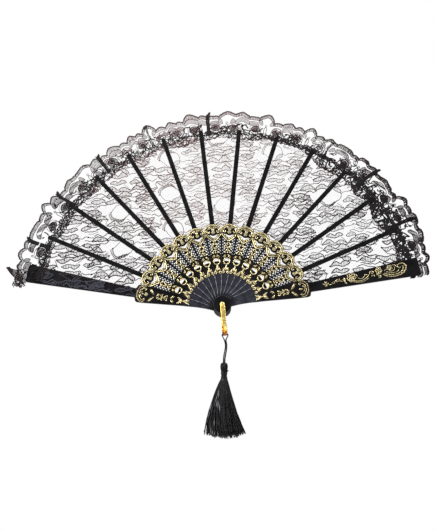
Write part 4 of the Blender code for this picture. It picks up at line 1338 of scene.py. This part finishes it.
def pleat_lines(angle, tip, strength):
    """The border folded over on itself: a dark upright strip with a flag of cloth at its tip."""
    lines = []
    for i in range(int(6 * strength) + 2):
        offset = (i - 3) * 0.14
        wander = RANDOM.normal(0, 0.06, 4)
        points = [at(angle + offset * 1.5 + wander[0], 193.5), at(angle + offset * 0.9 + wander[1], 202),
                  at(angle + offset * 0.8 + wander[2] + 0.1, 211), at(angle + offset * 0.9 + wander[3] - 0.1, 217.5),
                  at(angle - 0.35 + offset * 0.4, tip - 0.6 * abs(i - 3))]
        lines.append((smooth(points, 1.0), 0.95 * strength, 0.8))
    for i in range(int(4 * strength)):
        points = [at(angle + 0.5 - 0.1 * i, 218.5 - i * 0.8), at(angle - 0.2, tip - 1.4 - i * 0.5),
                  at(angle - 0.75, tip + 0.4 - i * 0.9)]
        lines.append((smooth(points, 0.8), 0.85, 0.8))
    return lines


def tuft_lines():
    """The loose end of the border, which curls up beyond the rear guard."""
    lines = []
    for i in range(9):
        shift = i * 0.28
        points = [at(173.4 - shift * 0.5, 206.5 + i * 0.5), at(172.6 - shift, 212.5 + i * 0.3),
                  at(171.4 - shift * 0.9, 219.5), at(170.2 - shift * 0.5, 225.5),
                  at(169.0 - shift * 0.12, 230.5 - i * 0.4)]
        lines.append((smooth(points, 1.0), 0.7, 0.1))
    for _ in range(34):
        start = at(RANDOM.uniform(168.8, 173.6), RANDOM.uniform(208, 218))
        squiggle(lines, start, RANDOM.uniform(6, 13), RANDOM.uniform(0.5, 0.9), 0.3, 0.35, 220.5, 206.0)
    return lines


def trim_weight(angle, radius):
    """How thick the border's threads are: most at the right of the fan, least near the edge at its top."""
    right, left = np.interp(angle, [38, 62], [1, 0]), np.interp(angle, [132, 146], [0, 1])
    inner = np.interp(radius, [184, 190, 206, 211], [0.4, 1, 1, 0])
    outer = np.interp(radius, [206, 209, 214, 216], [0, 1, 1, 0])
    edge = np.interp(radius, [211, 214], [0, 1])
    middle = np.interp(radius, [194, 201, 211, 216], [-0.15, 0.1, 0.1, 0.0])
    loose = np.interp(angle, [70, 84, 122, 134], [0, 0.38, 0.38, 0])
    loose *= np.interp(radius, [187, 191, 199, 203], [0, 1, 1, 0])
    return 1 + 0.42 * right * inner + middle * left + 0.25 * right * edge - 0.28 * (1 - right - left) * outer - loose


def trim_panel(index, lines, raised, material):
    """The length of border between two neighbouring blades."""
    low = TRIM_START if index == 0 else BLADE_ANGLES[index]
    high = TRIM_END if index == STICKS else BLADE_ANGLES[index + 1]
    shape = Shape()
    # Over the rear guard the border ends at the guard's lower edge, and only past its tip does it hang lower.
    zones = [(high, TRIM_INNER, TRIM_OUTER)]
    if index == STICKS:
        zones = [(GUARD_EDGE, TRIM_INNER, GUARD_TIP), (high, GUARD_TIP, TRIM_OUTER)]
    for group, forward in ((lines, 0.0), (raised, 1.3)):
        for line, width, dark in group:
            for last, inner, outer in zones:
                for points, angles, radii in clipped(line, low, last, inner, outer):
                    depth = trim_depth(angles, radii) - forward * np.clip((radii - 193) / 14, 0, 1)
                    wide = width * trim_weight(angles.mean(), radii.mean())
                    thread(shape, points, wide, min(width, 0.55), depth, darkening_and_sheen=dark)
    width = TRIM_FULLNESS * math.radians(high - low) * TRIM_MIDDLE
    panel(shape, "lace_trim", "trim", index, material)


def lace(material):
    lines, net, border, raised = lace_lines(), net_lines(), trim_lines(), tuft_lines()
    for angle, tip, strength in PLEATS:
        raised += pleat_lines(angle, tip, strength)
    for index in range(STICKS + 1):
        leaf_panel(index, lines, net, material)
        trim_panel(index, border, raised, material)


# --------------------------------------------------------- camera and lights


def camera():
    data = bpy.data.cameras.new("camera")
    data.lens, data.sensor_width, data.clip_start = 67.92, 36.0, 0.01
    obj = linked("camera", data)
    obj.location = (-0.00545, -0.9941, -0.2730)
    obj.rotation_euler = (math.radians(90 + 17.74), 0, 0)
    bpy.context.scene.camera = obj


def area_light(name, place, size, power):
    data = bpy.data.lights.new(name, "AREA")
    data.shape = "RECTANGLE"
    data.size, data.size_y = size
    data.energy = power
    obj = linked(name, data)
    obj.location = place
    obj.rotation_euler = (Vector((0.0, 0.0, 0.08)) - Vector(place)).to_track_quat("-Z", "Y").to_euler()


# How bright the surround looks in what mirrors it.
GLOSS_SKY = 0.3


def studio():
    """A white surround that the camera sees, dim where it is mirrored, and soft lamps."""
    world = bpy.data.worlds.new("studio")
    bpy.context.scene.world = world
    world.use_nodes = True
    tree = world.node_tree
    tree.nodes.clear()
    out, rays, sky = [tree.nodes.new("ShaderNode" + kind) for kind in ("OutputWorld", "LightPath", "Background")]
    strength = None
    for ray, level in (("Is Diffuse Ray", 0.9), ("Is Transmission Ray", 1.0), ("Is Camera Ray", 1.0)):
        pick = tree.nodes.new("ShaderNodeMix")
        tree.links.new(rays.outputs[ray], pick.inputs["Factor"])
        pick.inputs["A"].default_value = GLOSS_SKY
        if strength:
            tree.links.new(strength, pick.inputs["A"])
        pick.inputs["B"].default_value = level
        strength = pick.outputs["Result"]
    tree.links.new(strength, sky.inputs["Strength"])
    sky.inputs["Color"].default_value = (1, 1, 1, 1)
    tree.links.new(sky.outputs[0], out.inputs["Surface"])
    area_light("key", (-1.2, -0.85, 0.35), (0.8, 0.8), 24)
    area_light("fill", (1.0, -0.75, 0.95), (0.7, 0.7), 14)
    area_light("crown", (-0.5, -0.75, 1.15), (0.7, 0.5), 13)
    area_light("rim", (0.2, 0.9, 0.9), (1.0, 0.8), 7)
    view = bpy.context.scene.view_settings
    view.view_transform, view.look, view.exposure, view.gamma = "Standard", "None", 0.0, 1.0


def floor(material):
    shape = Shape()
    reach, depth = 6000.0, -760.0
    corners = [(-reach, -reach, depth), (reach, -reach, depth), (reach, reach, depth), (-reach, reach, depth)]
    shape.add(corners, [(0, 1, 2, 3)])
    shape.made("floor", material, smooth=False)


# ------------------------------------------------------------------ assembly


def blades(plastic, gilt):
    black, gold = "black_plastic", "gold_metal"
    stick, relief, beads = stick_mesh(plastic), stick_relief(gilt), black_beads(plastic)
    # The lips along the sticks' edges carry the painted edge highlight.
    edges, dish = edge_highlight_lines(painted_edge_highlight()), ring_dish(gilt)
    for number in STICK_NUMBERS:
        label = LABELS[number]
        where = (BLADE_ANGLES[number], STICK_YS[number - 1], BODIES[number])
        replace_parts(placed("stick_plate_" + label, stick, black, *where), "stick_" + label)
        placed("stick_relief_" + label, relief, gold, *where)
        placed("stick_dish_" + label, dish, gold, *where)
        placed("stick_beads_" + label, beads, black, *where)
        placed("stick_edges_" + label, edges, black, *where)
    for name, *where, front in (("front_guard", FRONT_ANGLE, -GUARD_Y, "front_blade", True),
                                ("rear_guard", REAR_ANGLE, GUARD_Y, "rear_blade", False)):
        mesh = guard_mesh(name + "_plate", not front, plastic)
        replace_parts(placed(name + "_plate", mesh, black, *where), name)
        placed(name + "_relief", guard_relief(front, gilt), gold, *where)


def corners(bounds):
    return [[float(x) for x in corner] for corner in bounds]


def main():
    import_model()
    camera()
    silk = rayon()
    tassel_cord(silk)
    blades(black_plastic(), gold_paint())
    metal = bail_gold()
    bail(metal)
    rivet(metal)
    tassel(silk)
    lace(lace_thread())
    studio()
    floor(pale_floor())


main()
